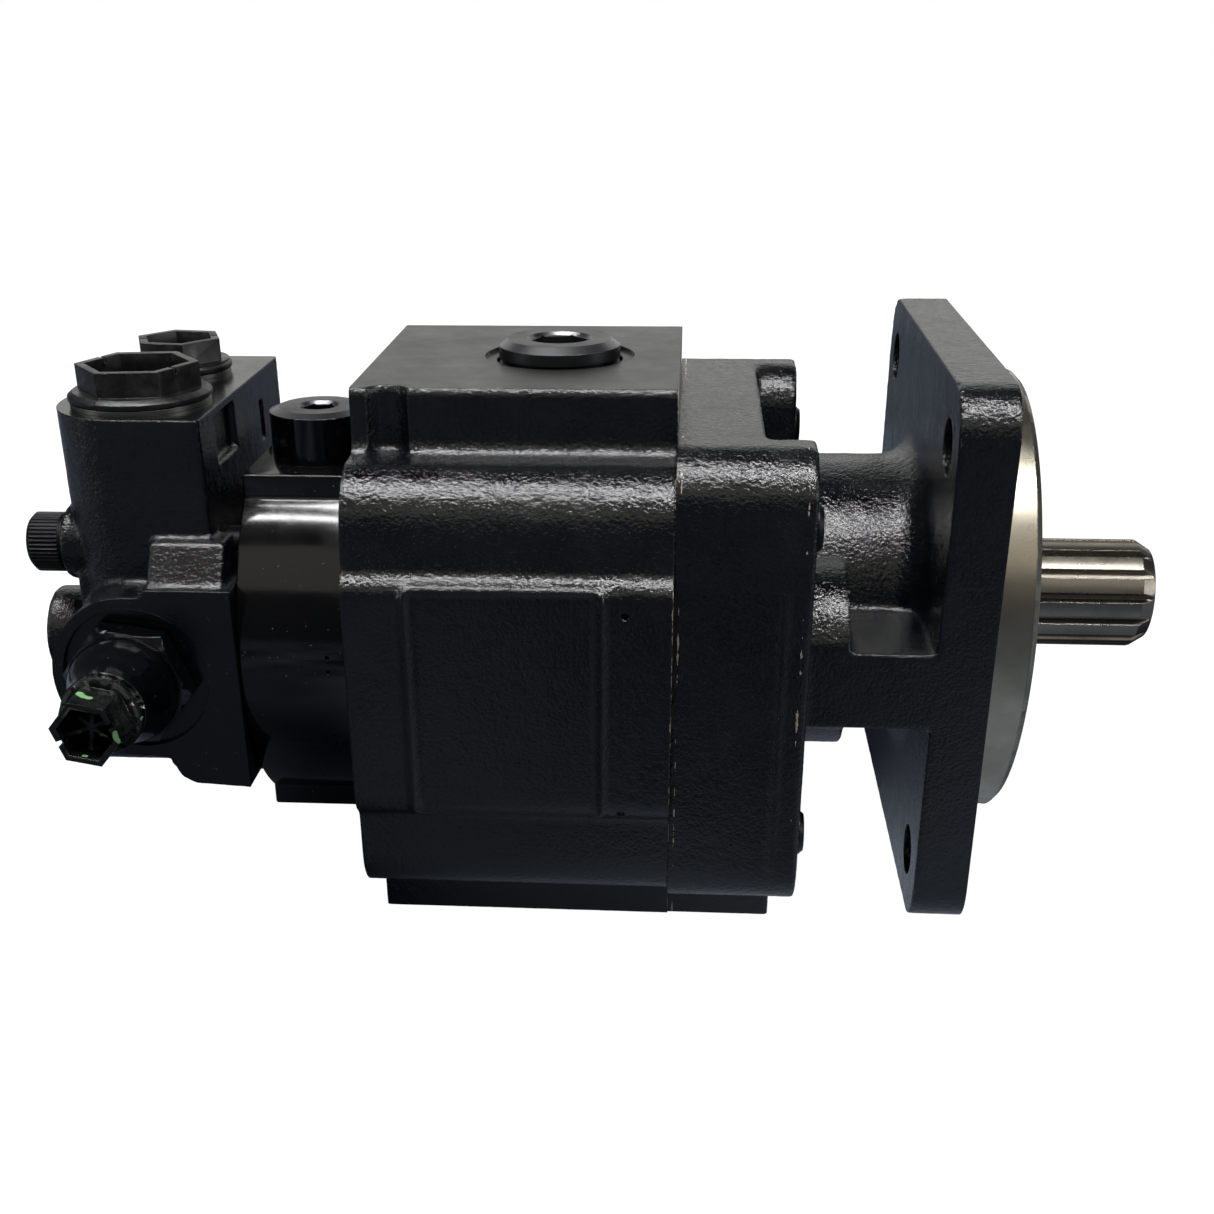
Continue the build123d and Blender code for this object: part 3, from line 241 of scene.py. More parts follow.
def bevel(obj, width, segments=3, angle=30.0):
    """Rounds the sharp edges of a turned or milled piece."""
    mod = obj.modifiers.new("bevel", "BEVEL")
    mod.width = width
    mod.segments = segments
    mod.limit_method = "ANGLE"
    mod.angle_limit = math.radians(angle)
    mod.use_clamp_overlap = True
    return apply_modifiers(obj)


def finish_piece(obj, body, nodes, materials):
    """Turns millimetres into metres, gives the piece its materials and body, and hides the CAD nodes it
    replaces.
    """
    obj.data.transform(Matrix.Scale(MM, 4))
    obj.data.materials.clear()
    for material in materials:
        obj.data.materials.append(material)
    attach(obj, body)
    if nodes:
        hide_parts(*nodes)
    return obj


def paint_faces(obj, index, test):
    """Gives the faces that pass the test another of the piece's materials."""
    for face in obj.data.polygons:
        if test(face.center, face.normal):
            face.material_index = index


# ---------------------------------------------------------------- materials
def material(name, color, roughness, metallic=0.0, specular=0.5, coat=0.0, coat_roughness=0.1):
    """A new Principled material and a helper for its nodes."""
    mat = bpy.data.materials.new(name)
    mat.use_nodes = True
    nodes = mat.node_tree.nodes
    shader = nodes["Principled BSDF"]
    shader.inputs["Base Color"].default_value = (*color, 1.0)
    shader.inputs["Roughness"].default_value = roughness
    shader.inputs["Metallic"].default_value = metallic
    shader.inputs["Specular IOR Level"].default_value = specular
    shader.inputs["Coat Weight"].default_value = coat
    shader.inputs["Coat Roughness"].default_value = coat_roughness
    return mat


def node(mat, kind, **values):
    """A shader node with some inputs set by name."""
    made = mat.node_tree.nodes.new(kind)
    for key, value in values.items():
        name = key.replace("_", " ")
        if name in made.inputs:
            made.inputs[name].default_value = value
        else:
            setattr(made, key, value)
    return made


def link(mat, source, target):
    mat.node_tree.links.new(source, target)


def noise_at(mat, size, detail=3.0, rough=0.55, stretch=(1, 1, 1)):
    """Noise whose lumps are about size millimetres wide."""
    coords = node(mat, "ShaderNodeTexCoord")
    mapping = node(mat, "ShaderNodeMapping")
    mapping.inputs["Scale"].default_value = [s / (size * MM) for s in stretch]
    link(mat, coords.outputs["Object"], mapping.inputs["Vector"])
    made = node(mat, "ShaderNodeTexNoise", Scale=1.0, Detail=detail, Roughness=rough)
    link(mat, mapping.outputs["Vector"], made.inputs["Vector"])
    return made.outputs["Fac"]


def ramp(mat, source, stops):
    """A colour ramp from (position, value or colour) stops."""
    made = node(mat, "ShaderNodeValToRGB")
    elements = made.color_ramp.elements
    while len(elements) < len(stops):
        elements.new(0.5)
    for element, (position, value) in zip(elements, stops):
        element.position = position
        element.color = (value, value, value, 1) if isinstance(value, (int, float)) else (*value, 1)
    link(mat, source, made.inputs["Fac"])
    return made.outputs["Color"]


def bumps(mat, layers, edge_radius=0.0):
    """Stacks bump layers of (source, strength, depth in millimetres) on the shader's normal."""
    last = None
    if edge_radius:
        rounding = node(mat, "ShaderNodeBevel", samples=4)
        rounding.inputs["Radius"].default_value = edge_radius * MM
        last = rounding.outputs["Normal"]
    for source, strength, depth in layers:
        made = node(mat, "ShaderNodeBump", Strength=strength, Distance=depth * MM)
        link(mat, source, made.inputs["Height"])
        if last is not None:
            link(mat, last, made.inputs["Normal"])
        last = made.outputs["Normal"]
    link(mat, last, mat.node_tree.nodes["Principled BSDF"].inputs["Normal"])


def mix_color(mat, factor, low, high):
    """Blends two colours or sockets by a factor socket."""
    made = node(mat, "ShaderNodeMix", data_type="RGBA")
    link(mat, factor, made.inputs["Factor"])
    for name, value in (("A", low), ("B", high)):
        socket = [s for s in made.inputs if s.name == name and s.type == "RGBA"][0]
        if isinstance(value, tuple):
            socket.default_value = (*value, 1.0)
        else:
            link(mat, value, socket)
    return [s for s in made.outputs if s.type == "RGBA"][0]


def math_node(mat, operation, a, b=None):
    """A maths node; a and b are sockets or numbers."""
    made = node(mat, "ShaderNodeMath", operation=operation)
    for i, value in enumerate((a, b)):
        if value is None:
            continue
        if isinstance(value, (int, float)):
            made.inputs[i].default_value = value
        else:
            link(mat, value, made.inputs[i])
    return made.outputs[0]


def into(mat, socket, name):
    link(mat, socket, mat.node_tree.nodes["Principled BSDF"].inputs[name])


def near_plane(mat, axis, where, width):
    """1 on a plane across an axis, falling to 0 at width millimetres from it."""
    geometry = node(mat, "ShaderNodeTexCoord")
    split = node(mat, "ShaderNodeSeparateXYZ")
    link(mat, geometry.outputs["Object"], split.inputs[0])
    away = math_node(mat, "ABSOLUTE", math_node(mat, "SUBTRACT", split.outputs[axis], where * MM))
    share = math_node(mat, "MINIMUM", math_node(mat, "DIVIDE", away, width * MM), 1.0)
    return math_node(mat, "SUBTRACT", 1.0, share)


def cast_paint(name, chips=(), rough=0.14):
    """Glossy black paint pooled over rough cast iron, with a few tan chips near given planes."""
    mat = material(name, (0.002, 0.0024, 0.0034), rough, specular=0.6)
    coarse = noise_at(mat, 2.4, 2.0)
    grain = noise_at(mat, 0.95, 2.0, 0.6)
    fine = noise_at(mat, 0.4, 2.0)
    bumps(mat, ((coarse, 0.3, 0.52), (grain, 0.66, 0.4), (fine, 0.33, 0.10)), 0.9)
    blotch = noise_at(mat, 14.0, 4.0, 0.65)
    into(mat, ramp(mat, blotch, ((0.3, rough - 0.04), (0.72, rough + 0.12))), "Roughness")
    thick, thin = (0.0014, 0.0019, 0.0032), (0.0042, 0.0046, 0.0054)
    tone = mix_color(mat, ramp(mat, blotch, ((0.35, 0.0), (0.75, 1.0))), thick, thin)
    if chips:
        spots = noise_at(mat, 3.0, 3.0, 0.6)
        patchy = noise_at(mat, 22.0, 2.0)
        mask = None
        for axis, where, width, amount in chips:
            near = near_plane(mat, axis, where, width)
            score = math_node(mat, "MULTIPLY", near, 0.3)
            score = math_node(mat, "ADD", score, math_node(mat, "MULTIPLY", patchy, 0.45))
            score = math_node(mat, "MULTIPLY", score, math_node(mat, "GREATER_THAN", near, 0.02))
            score = math_node(mat, "ADD", score, math_node(mat, "MULTIPLY", spots, 0.55))
            one = math_node(mat, "GREATER_THAN", score, amount)
            mask = one if mask is None else math_node(mat, "MAXIMUM", mask, one)
        tone = mix_color(mat, mask, tone, (0.33, 0.26, 0.19))
    into(mat, tone, "Base Color")
    return mat


def smooth_paint(name, color, rough, dust=0.0, specular=0.5):
    """Glossy black paint over a machined face, with faint dust, tool marks and orange peel."""
    mat = material(name, color, rough, specular=specular)
    peel = noise_at(mat, 3.5, 2.0)
    tool = noise_at(mat, 0.5, 2.0, 0.5, (0.04, 1.0, 0.3))
    bumps(mat, ((peel, 0.10, 0.10), (tool, 0.10, 0.02)), 0.45)
    smear = noise_at(mat, 18.0, 5.0, 0.7)
    into(mat, ramp(mat, smear, ((0.3, rough - 0.04), (0.75, rough + 0.10))), "Roughness")
    specks = noise_at(mat, 1.3, 2.0, 0.7)
    dusty = math_node(mat, "MULTIPLY", math_node(mat, "GREATER_THAN", specks, 0.72), dust)
    into(mat, mix_color(mat, dusty, color, (0.35, 0.33, 0.30)), "Base Color")
    return mat


def bare_steel(name, color, rough, along="X", fine=0.16, bevel_radius=0.3):
    """Turned or ground steel with tool marks round the given axis."""
    mat = material(name, color, rough, metallic=1.0)
    stretch = {"X": (1.0, 0.03, 0.03), "Y": (0.03, 1.0, 0.03), "Z": (0.03, 0.03, 1.0)}[along]
    marks = noise_at(mat, 0.35, 3.0, 0.6, stretch)
    stain = noise_at(mat, 16.0, 4.0, 0.6)
    bumps(mat, ((marks, fine, 0.03),), bevel_radius)
    into(mat, ramp(mat, stain, ((0.3, rough - 0.06), (0.75, rough + 0.12))), "Roughness")
    darker = tuple(c * 0.72 for c in color)
    into(mat, mix_color(mat, ramp(mat, stain, ((0.32, 0.0), (0.7, 1.0))), color, darker), "Base Color")
    return mat


def plastic(name, color, rough, marks=None):
    """Moulded plastic, scuffed lighter in places, with optional paint marks as (colour, amount)."""
    mat = material(name, color, rough, specular=0.45)
    scuff = noise_at(mat, 5.0, 5.0, 0.7)
    grain = noise_at(mat, 0.4, 2.0)
    bumps(mat, ((grain, 0.12, 0.05),), 0.25)
    into(mat, ramp(mat, scuff, ((0.35, rough - 0.08), (0.7, rough + 0.15))), "Roughness")
    lighter = tuple(min(1.0, c * 1.6 + 0.004) for c in color)
    tone = mix_color(mat, ramp(mat, scuff, ((0.5, 0.0), (0.72, 1.0))), color, lighter)
    if marks:
        blob = noise_at(mat, 4.2, 1.0, 0.4)
        tone = mix_color(mat, math_node(mat, "GREATER_THAN", blob, marks[1]), tone, marks[0])
    into(mat, tone, "Base Color")
    return mat


# ---------------------------------------------------------------- castings
BOLT_PLACES = [(MID_Y + sy * 52.0, sz * 42.0) for sy in (-1, 1) for sz in (-1, 1)]
BODY_Y = (MID_Y - HALF_W, MID_Y + HALF_W)
BODY_Z = (-HALF_H, HALF_H)
PAD_HALF = 44.4
PAD_Z = HOUSING_HIGH.z
PORT_X = -114.0
SEAM_X = LOBE_X - 7.0
FOOT_X = -53.6
NECK_R = 39.5
CAP_X = -223.3
NEAR_CAP_Y = -44.6
FAR_CAP_Y = -8.0
SCREW_SEAT_X = -246.0
SCREW_DY, SCREW_DZ = 24.6, 27.0


def draft(obj, start, amount, front=0.0):
    """Leans the side walls inwards above a height, as a pattern's draft does, behind a plane across X."""
    co, no = arrays(obj.data)
    away = co[:, 1] - MID_Y
    side = np.sign(away) * np.clip((np.abs(away) - 42) / 18, 0, 1) * np.clip((front - co[:, 0]) / 3, 0, 1)
    co[:, 1] -= side * amount * np.maximum(co[:, 2] - start, 0)
    obj.data.vertices.foreach_set("co", co.ravel())
    obj.data.update()


def seam(obj):
    """A faint upright flash line on the cover's near side."""
    co, no = arrays(obj.data)
    face = (no[:, 1] < -0.6) & (co[:, 1] < BODY_Y[0] + 3) & (np.abs(co[:, 2] + 8) < 38)
    co[:, 1] -= np.where(face, 0.5 * np.exp(-(((co[:, 0] - SEAM_X) / 0.9) ** 2)), 0.0)
    obj.data.vertices.foreach_set("co", co.ravel())
    obj.data.update()


def roll_edges(obj, top, radius):
    """Rounds the two long edges of the port pad, just under the height where it is machined flat."""
    co, no = arrays(obj.data)
    share = np.clip((co[:, 2] - (top - radius)) / radius, 0, 1)
    drop = radius * 0.8 * (1 - np.sqrt(1 - 0.96 * share ** 2))
    away = co[:, 1] - MID_Y
    co[:, 1] -= np.sign(away) * np.clip((np.abs(away) - 30) / 14, 0, 1) * drop
    obj.data.vertices.foreach_set("co", co.ravel())
    obj.data.update()


def cover_casting():
    """Square flange, neck, rib, plate and bolt lobes in one rough casting."""
    bm = bmesh.new()
    add_prism(bm, "X", (FRONT_X - 2, PLATE_X), rounded(BODY_Y, (COVER_BOTTOM, COVER_TOP), 13))
    near, far = BODY_Y
    for low, high in ((near, near + 32.1), (far - 32.1, far)):
        for bottom, top in ((25.5, COVER_TOP), (COVER_BOTTOM, -25.5)):
            add_prism(bm, "X", (PLATE_X - 8, LOBE_X), rounded((low, high), (bottom, top), 13))
    add_prism(bm, "X", (PLATE_X - 8, LOBE_X), rounded((near, near + 17.8), (-50, 50), 5))
    add_prism(bm, "X", (PLATE_X - 8, LOBE_X), rounded((far - 17.8, far), (-50, 50), 5))
    foot_front = LOBE_X - 1.2
    foot = ((FRONT_X - 2, -50), (FRONT_X - 2, -75), (FOOT_X, -75), (FOOT_X, -64),
            (foot_front, -56.5), (foot_front, -50))
    add_prism(bm, "Y", (MID_Y - PAD_HALF, MID_Y + PAD_HALF), foot)
    add_disc(bm, "X", (PLATE_X - 8, -FLANGE_T), (0, 0), NECK_R, segments=160)
    blend_r = 9.0
    for i in range(8):
        a, b = math.radians(90 * i / 8), math.radians(90 * (i + 1) / 8)
        span = (-FLANGE_T - blend_r * (1 - math.sin(a)), -FLANGE_T - blend_r * (1 - math.sin(b)))
        radii = (NECK_R + blend_r * (1 - math.cos(a)), NECK_R + blend_r * (1 - math.cos(b)))
        add_disc(bm, "X", span, (0, 0), *radii, segments=160)
    boss = [(max(y, -FLANGE_HALF), z) for y, z in polygon((IDLER_Y, 0), 25.0, 64)]
    add_prism(bm, "X", (PLATE_X - 8, -36.5), boss)
    add_prism(bm, "X", (PLATE_X - 8, -10), [(-FLANGE_HALF, -13), (-30, -13), (-30, 7), (-FLANGE_HALF, 8)])
    edge = (-FLANGE_HALF, FLANGE_HALF)
    add_prism(bm, "X", (-FLANGE_T, 2.5), rounded(edge, edge, 13))
    obj = cast(to_object("cover_casting", bm), 0.85, 5)
    draft(obj, 30.0, 0.12, LOBE_X + 4)
    seam(obj)
    roughen(obj, (5.0, 0.16), (1.6, 0.13))
    beyond(obj, "X", 0.0, 1)
    beyond(obj, "X", FRONT_X, -1)
    beyond(obj, "Z", COVER_LOW.z + 1.4, -1)
    return obj


def finish_cover(obj):
    """The pilot and the bores that are machined in the cover."""
    bm = bmesh.new()
    add_disc(bm, "X", (-3.0, PILOT_X - 1.5), (0, 0), PILOT_R, segments=256)
    pilot = to_object("pilot", bm)
    bm = bmesh.new()
    add_disc(bm, "X", (PILOT_X - 1.6, PILOT_X), (0, 0), PILOT_R + 0.1, PILOT_R - 1.5, segments=256)
    boolean(pilot, to_object("pilot_chamfer", bm), "UNION")
    boolean(obj, pilot, "UNION")
    hole(obj, "X", (FRONT_X - 1, PILOT_X + 1), (0, 0), 20.5, 128)
    hole(obj, "X", (FRONT_X - 1, FRONT_X + 27), (0, 0), 22.0, 96)
    hole(obj, "X", (FRONT_X - 1, FRONT_X + 22), (IDLER_Y, 0), 22.0, 96)
    hole(obj, "X", (-10.0, PILOT_X + 1), (0, 0), 26.0, 128)
    hole(obj, "X", (0.5, 2.5), (0, 0), 27.6, 128)
    for y in (-57.25, 57.25):
        for z in (-57.25, 57.25):
            hole(obj, "X", (-40, 5), (y, z), 7.15)
    for y, z in BOLT_PLACES:
        hole(obj, "X", (FRONT_X - 1, LOBE_X + 4), (y, z), 6.1)
    return obj


def housing_outline(pad_top):
    """The pad's section with a concave foot, standing on the shoulder, in (Y, Z) for the top side."""
    blend = 4.2
    points = []
    for side in (1, -1):
        arc = []
        for i in range(7):
            a = math.radians(90 * i / 6)
            out, up = blend * (1 - math.sin(a)), blend * (1 - math.cos(a))
            arc.append((MID_Y + side * (PAD_HALF + out), HALF_H + up))
        if side > 0:
            points += [(MID_Y + PAD_HALF + blend, HALF_H - 6)] + arc + [(MID_Y + PAD_HALF, pad_top)]
        else:
            points += [(MID_Y - PAD_HALF, pad_top)] + arc[::-1] + [(MID_Y - PAD_HALF - blend, HALF_H - 6)]
    return points


def housing_casting():
    """The gear housing: shoulders, port pads, side panels, foot pad and the half-round notch."""
    bm = bmesh.new()
    span = (REAR_X - 2, FRONT_X + 2)
    add_prism(bm, "X", span, rounded(BODY_Y, BODY_Z, 13))
    add_prism(bm, "X", span, housing_outline(PAD_Z + 2.5))
    foot = [(y, -z) for y, z in housing_outline(PAD_Z + 2.5)]
    add_prism(bm, "X", (REAR_X + 0.5, FRONT_X + 2), foot[::-1])
    for y in ((HOUSING_LOW.y, HOUSING_LOW.y + 12), (HOUSING_HIGH.y - 12, HOUSING_HIGH.y)):
        add_prism(bm, "X", span, rounded(y, (-31.5, 34.0), 6.0))
    obj = cast(to_object("housing_casting", bm), 0.8, 6)
    notch = (-153.3, MID_Y - PAD_HALF - 0.6)
    cut(obj, lambda b: add_disc(b, "Z", (HALF_H, PAD_Z + 5), notch, 5.2, segments=48))
    remelt = obj.modifiers.new("remesh", "REMESH")
    remelt.mode = "VOXEL"
    remelt.voxel_size = 0.8
    soften = obj.modifiers.new("smooth", "SMOOTH")
    soften.factor, soften.iterations = 0.5, 2
    apply_modifiers(obj)
    draft(obj, 35.0, 0.17)
    roll_edges(obj, PAD_Z, 2.2)
    emboss_panel(obj)
    roughen(obj, (5.0, 0.15), (1.5, 0.12))
    beyond(obj, "X", FRONT_X, 1)
    beyond(obj, "X", REAR_X, -1)
    beyond(obj, "Z", PAD_Z, 1)
    beyond(obj, "Z", -PAD_Z, -1)
    return obj


def emboss_panel(obj):
    """A thin raised frame round a shallow blank panel on the near side."""
    x_mid, x_half, z_mid, z_half = -122.9, 24.2, 0.2, 31.0
    co, no = arrays(obj.data)
    face = (no[:, 1] < -0.5) & (co[:, 1] < HOUSING_LOW.y + 3)
    dx = np.abs(co[:, 0] - x_mid) - (x_half - 2.5)
    dz = np.abs(co[:, 2] - z_mid) - (z_half - 2.5)
    away = np.hypot(np.maximum(dx, 0), np.maximum(dz, 0)) + np.minimum(np.maximum(dx, dz), 0) - 2.5
    ridge = 1.15 * np.exp(-((away / 0.95) ** 2))
    sunk = 0.6 / (1 + np.exp((away + 1.6) / 0.35))
    co[:, 1] += np.where(face, sunk - ridge, 0.0)
    obj.data.vertices.foreach_set("co", co.ravel())
    obj.data.update()


def finish_housing(obj):
    """Port, plug seat, gear chamber, bores and bolt holes of the housing."""
    hole(obj, "Z", (PAD_Z - 1.0, PAD_Z + 1), (PORT_X, MID_Y), 20.0, 128)
    hole(obj, "Z", (PAD_Z - 17.0, PAD_Z), (PORT_X, MID_Y), 16.9, 96)
    hole(obj, "Z", (0.0, PAD_Z - 16.5), (PORT_X, MID_Y), 15.0, 96)
    hole(obj, "Z", (-PAD_Z - 1, -PAD_Z + 26.0), (PORT_X, MID_Y), 15.9, 96)
    hole(obj, "Z", (-PAD_Z + 20, 0.5), (PORT_X, MID_Y), 13.0, 96)
    for sx in (-1, 1):
        for sy in (-1, 1):
            at = (PORT_X + sx * 15.1, MID_Y + sy * 29.35)
            hole(obj, "Z", (-PAD_Z - 1, -PAD_Z + 18), at, 4.25, 32)
    hole(obj, "X", (REAR_X + 8.05, FRONT_X + 1), (0, 0), 30.58, 128)
    hole(obj, "X", (REAR_X + 8.05, FRONT_X + 1), (IDLER_Y, 0), 30.58, 128)
    for y in (0, IDLER_Y):
        hole(obj, "X", (REAR_X - 1, REAR_X + 9), (y, 0), 22.0, 96)
    for y, z in BOLT_PLACES:
        hole(obj, "X", (REAR_X - 1, FRONT_X + 1), (y, z), 6.1, 48)
        hole(obj, "X", (REAR_X - 1, REAR_X + 12.5), (y, z), 9.0, 48)
    for x, z in ((-93.3, 25.2), (-94.0, -28.6)):
        hole(obj, "Y", (HOUSING_LOW.y - 1, HOUSING_LOW.y + 2), (x, z), 0.95, 24)
    return obj


def rear_cover_outline(radius, half, top, steps=40):
    """A circle with a flat-topped pad above and below, in (Y, Z)."""
    corner = math.acos(half / radius)
    points = []
    for start in (0, math.pi):
        for i in range(steps + 1):
            a = start - corner + 2 * corner * i / steps
            points.append((MID_Y + radius * math.cos(a), radius * math.sin(a)))
        side = 1 if start == 0 else -1
        points += [(MID_Y + side * half, side * top), (MID_Y - side * half, side * top)]
    return points


def rear_cover_piece():
    """The bearing carrier between the gear housing and the valve block."""
    bm = bmesh.new()
    add_prism(bm, "X", (REAR_LOW.x, REAR_HIGH.x), rear_cover_outline(52.5, 31.6, REAR_HIGH.z))
    obj = bevel(to_object("rear_cover_casting", bm), 0.7, 3, 25)
    hole(obj, "X", (REAR_HIGH.x - 25, REAR_HIGH.x + 1), (0, 0), 22.0, 96)
    hole(obj, "X", (REAR_HIGH.x - 25, REAR_HIGH.x + 1), (IDLER_Y, 0), 22.0, 96)
    hole(obj, "Z", (30, REAR_HIGH.z + 1), (-178, -36), 9.3, 64)
    for y, z in ((-8.0, 41.3), (-8.0, -41.3), (-42.8, -41.3)):
        hole(obj, "X", (REAR_LOW.x - 1, REAR_LOW.x + 9), (y, z), 6.5, 48)
    for x, z in ((-171.3, 5.5), (-171.3, 1.5), (-171.5, -18.0), (-171.5, -21.0)):
        reach = MID_Y - math.sqrt(52.5 ** 2 - z ** 2)
        hole(obj, "Y", (reach - 1, reach + 1.2), (x, z), 0.55, 16)
    return obj


def valve_casting():
    """The valve block: a tall rounded head over a lower body with a round machined boss."""
    x0, y0, r = -223.3, -44.6, 21.7
    bm = bmesh.new()
    turns = [math.radians(a) for a in range(180, 271, 6)]
    head = [(x0 + r * math.cos(a), y0 + r * math.sin(a)) for a in turns]
    head += [(-202.0, y0 - r), (-202.0, VALVE_HIGH.y), (x0 - r, VALVE_HIGH.y)]
    add_prism(bm, "Z", (6, VALVE_HIGH.z + 2.5), head)
    add_prism(bm, "X", (x0 - r + 3, -219), rounded((-60.0, VALVE_HIGH.y), (-31, 27), 9))
    add_prism(bm, "X", (-222.0, REAR_LOW.x + 2), rounded((-64.0, VALVE_HIGH.y), (-36, 27), 6))
    boss = polygon((-222.5, -0.8), 22.3, 96)
    add_prism(bm, "Y", (VALVE_LOW.y - 2, -50), boss)
    face = [(-222.5, -23.0), (-216.0, -23.5), (-213.5, -29.0), (-210.0, -31.0),
            (-193, -32.0), (-193, 23.5), (-218, 23.5)]
    add_prism(bm, "Y", (VALVE_LOW.y - 2, -50), face)
    add_prism(bm, "X", (-217.5, -197.5), [(-60, 16), (-77.0, 18), (-77.6, 22.5), (-70, 33.5), (-60, 33.5)])
    add_disc(bm, "X", (VALVE_LOW.x, x0), (-42, -2), 13.0)
    for y in (MID_Y - SCREW_DY, MID_Y + SCREW_DY):
        for z in (-SCREW_DZ, SCREW_DZ):
            add_disc(bm, "X", (SCREW_SEAT_X, x0), (y, z), 9.8)
    obj = cast(to_object("valve_casting", bm), 0.62, 5)
    wide_recess = [(-204.0, -52), (-198, -52), (-198, -33.5), (-204.0, -33.5)]
    narrow_recess = [(-203.4, -8), (-198, -8), (-198, -4.5), (-203.4, -4.5)]
    cut(obj, lambda b: add_prism(b, "Z", (49.5, 62), wide_recess))
    cut(obj, lambda b: add_prism(b, "Z", (45, 56), narrow_recess))
    remelt = obj.modifiers.new("remesh", "REMESH")
    remelt.mode = "VOXEL"
    remelt.voxel_size = 0.62
    soften = obj.modifiers.new("smooth", "SMOOTH")
    soften.factor, soften.iterations = 0.5, 3
    apply_modifiers(obj)
    roughen(obj, (4.2, 0.14), (1.4, 0.12))
    beyond(obj, "Z", VALVE_HIGH.z, 1)
    beyond(obj, "X", REAR_LOW.x, 1)
    beyond(obj, "Y", VALVE_LOW.y, -1)
    return obj


def finish_valve(obj):
    """Ports, the fitting's seat, the screw seats and the relief bore."""
    hole(obj, "Z", (44, 65), (CAP_X, NEAR_CAP_Y), 13.0, 64)
    hole(obj, "Z", (46, 65), (CAP_X, FAR_CAP_Y), 10.5, 64)
    hole(obj, "Y", (VALVE_LOW.y - 1, VALVE_LOW.y + 1.6), (-222.5, -0.8), 19.3, 96)
    hole(obj, "Y", (VALVE_LOW.y - 1, VALVE_LOW.y + 16), (-225, -2), 11.0, 64)
    hole(obj, "X", (VALVE_LOW.x - 1, -238), (-42, -2), 5.0, 48)
    for y in (MID_Y - SCREW_DY, MID_Y + SCREW_DY):
        for z in (-SCREW_DZ, SCREW_DZ):
            hole(obj, "X", (VALVE_LOW.x - 12, SCREW_SEAT_X), (y, z), 10.5, 48)
    return obj


# ---------------------------------------------------------------- turned and moulded pieces
def add_lathe(bm, axis, at, profile, segments=96, sign=1):
    """Spins a closed (height, radius) profile round an axis through at; sign turns its heights over."""
    rings = []
    for height, radius in profile:
        ring = []
        for i in range(segments):
            a = 2 * math.pi * i / segments
            u, v, w = radius * math.cos(a), radius * math.sin(a), height * sign
            local = {"X": (w, u, v), "Y": (u, w, v), "Z": (u, v, w)}[axis]
            ring.append(bm.verts.new(Vector(at) + Vector(local)))
            if radius < 1e-6:
                break
        rings.append(ring)
    faces = []
    for low, high in zip(rings, rings[1:] + rings[:1]):
        if len(low) == 1 and len(high) == 1:
            continue
        for i in range(segments):
            j = (i + 1) % segments
            corners = [low[i % len(low)], low[j % len(low)], high[j % len(high)], high[i % len(high)]]
            unique = list(dict.fromkeys(corners))
            if len(unique) > 2:
                faces.append(bm.faces.new(unique))
    bmesh.ops.recalc_face_normals(bm, faces=faces)


def socket_plug(name, at, radius, height, chamfer, flats, depth, turn=0.0, skirt=0.0, thread=(8.0, 11.0)):
    """A round plug head with a chamfered rim and a hexagon socket, on top of a threaded shank."""
    thread_r, thread_length = thread
    neck_r = thread_r - 1.6
    profile = [(height, 0), (height, radius - chamfer[0]), (height - chamfer[1], radius),
               (skirt, radius), (skirt, neck_r), (-2.2, neck_r)]
    pitch = 1.5
    turns = int((thread_length - 2.2) / pitch)
    for i in range(turns):
        low = -2.2 - i * pitch
        profile += [(low - 0.1, thread_r - 0.9), (low - pitch / 2, thread_r),
                    (low - pitch + 0.1, thread_r - 0.9)]
    profile += [(-thread_length - 0.6, thread_r - 1.2), (-thread_length - 0.6, 0)]
    bm = bmesh.new()
    add_lathe(bm, "Z", at, profile, 128)
    obj = to_object(name, bm)
    corners = polygon((at[0], at[1]), flats / math.sqrt(3), 6, turn)
    cut(obj, lambda b: add_prism(b, "Z", (at[2] + height - depth, at[2] + height + 1), corners))
    cut(obj, lambda b: add_disc(b, "Z", (at[2] + height - 0.9, at[2] + height + 0.01), at[:2],
                                flats / math.sqrt(3) - 0.3, flats / math.sqrt(3) + 0.6, 64))
    return obj


CORNERS = ((-1, -1), (1, -1), (1, 1), (-1, 1))


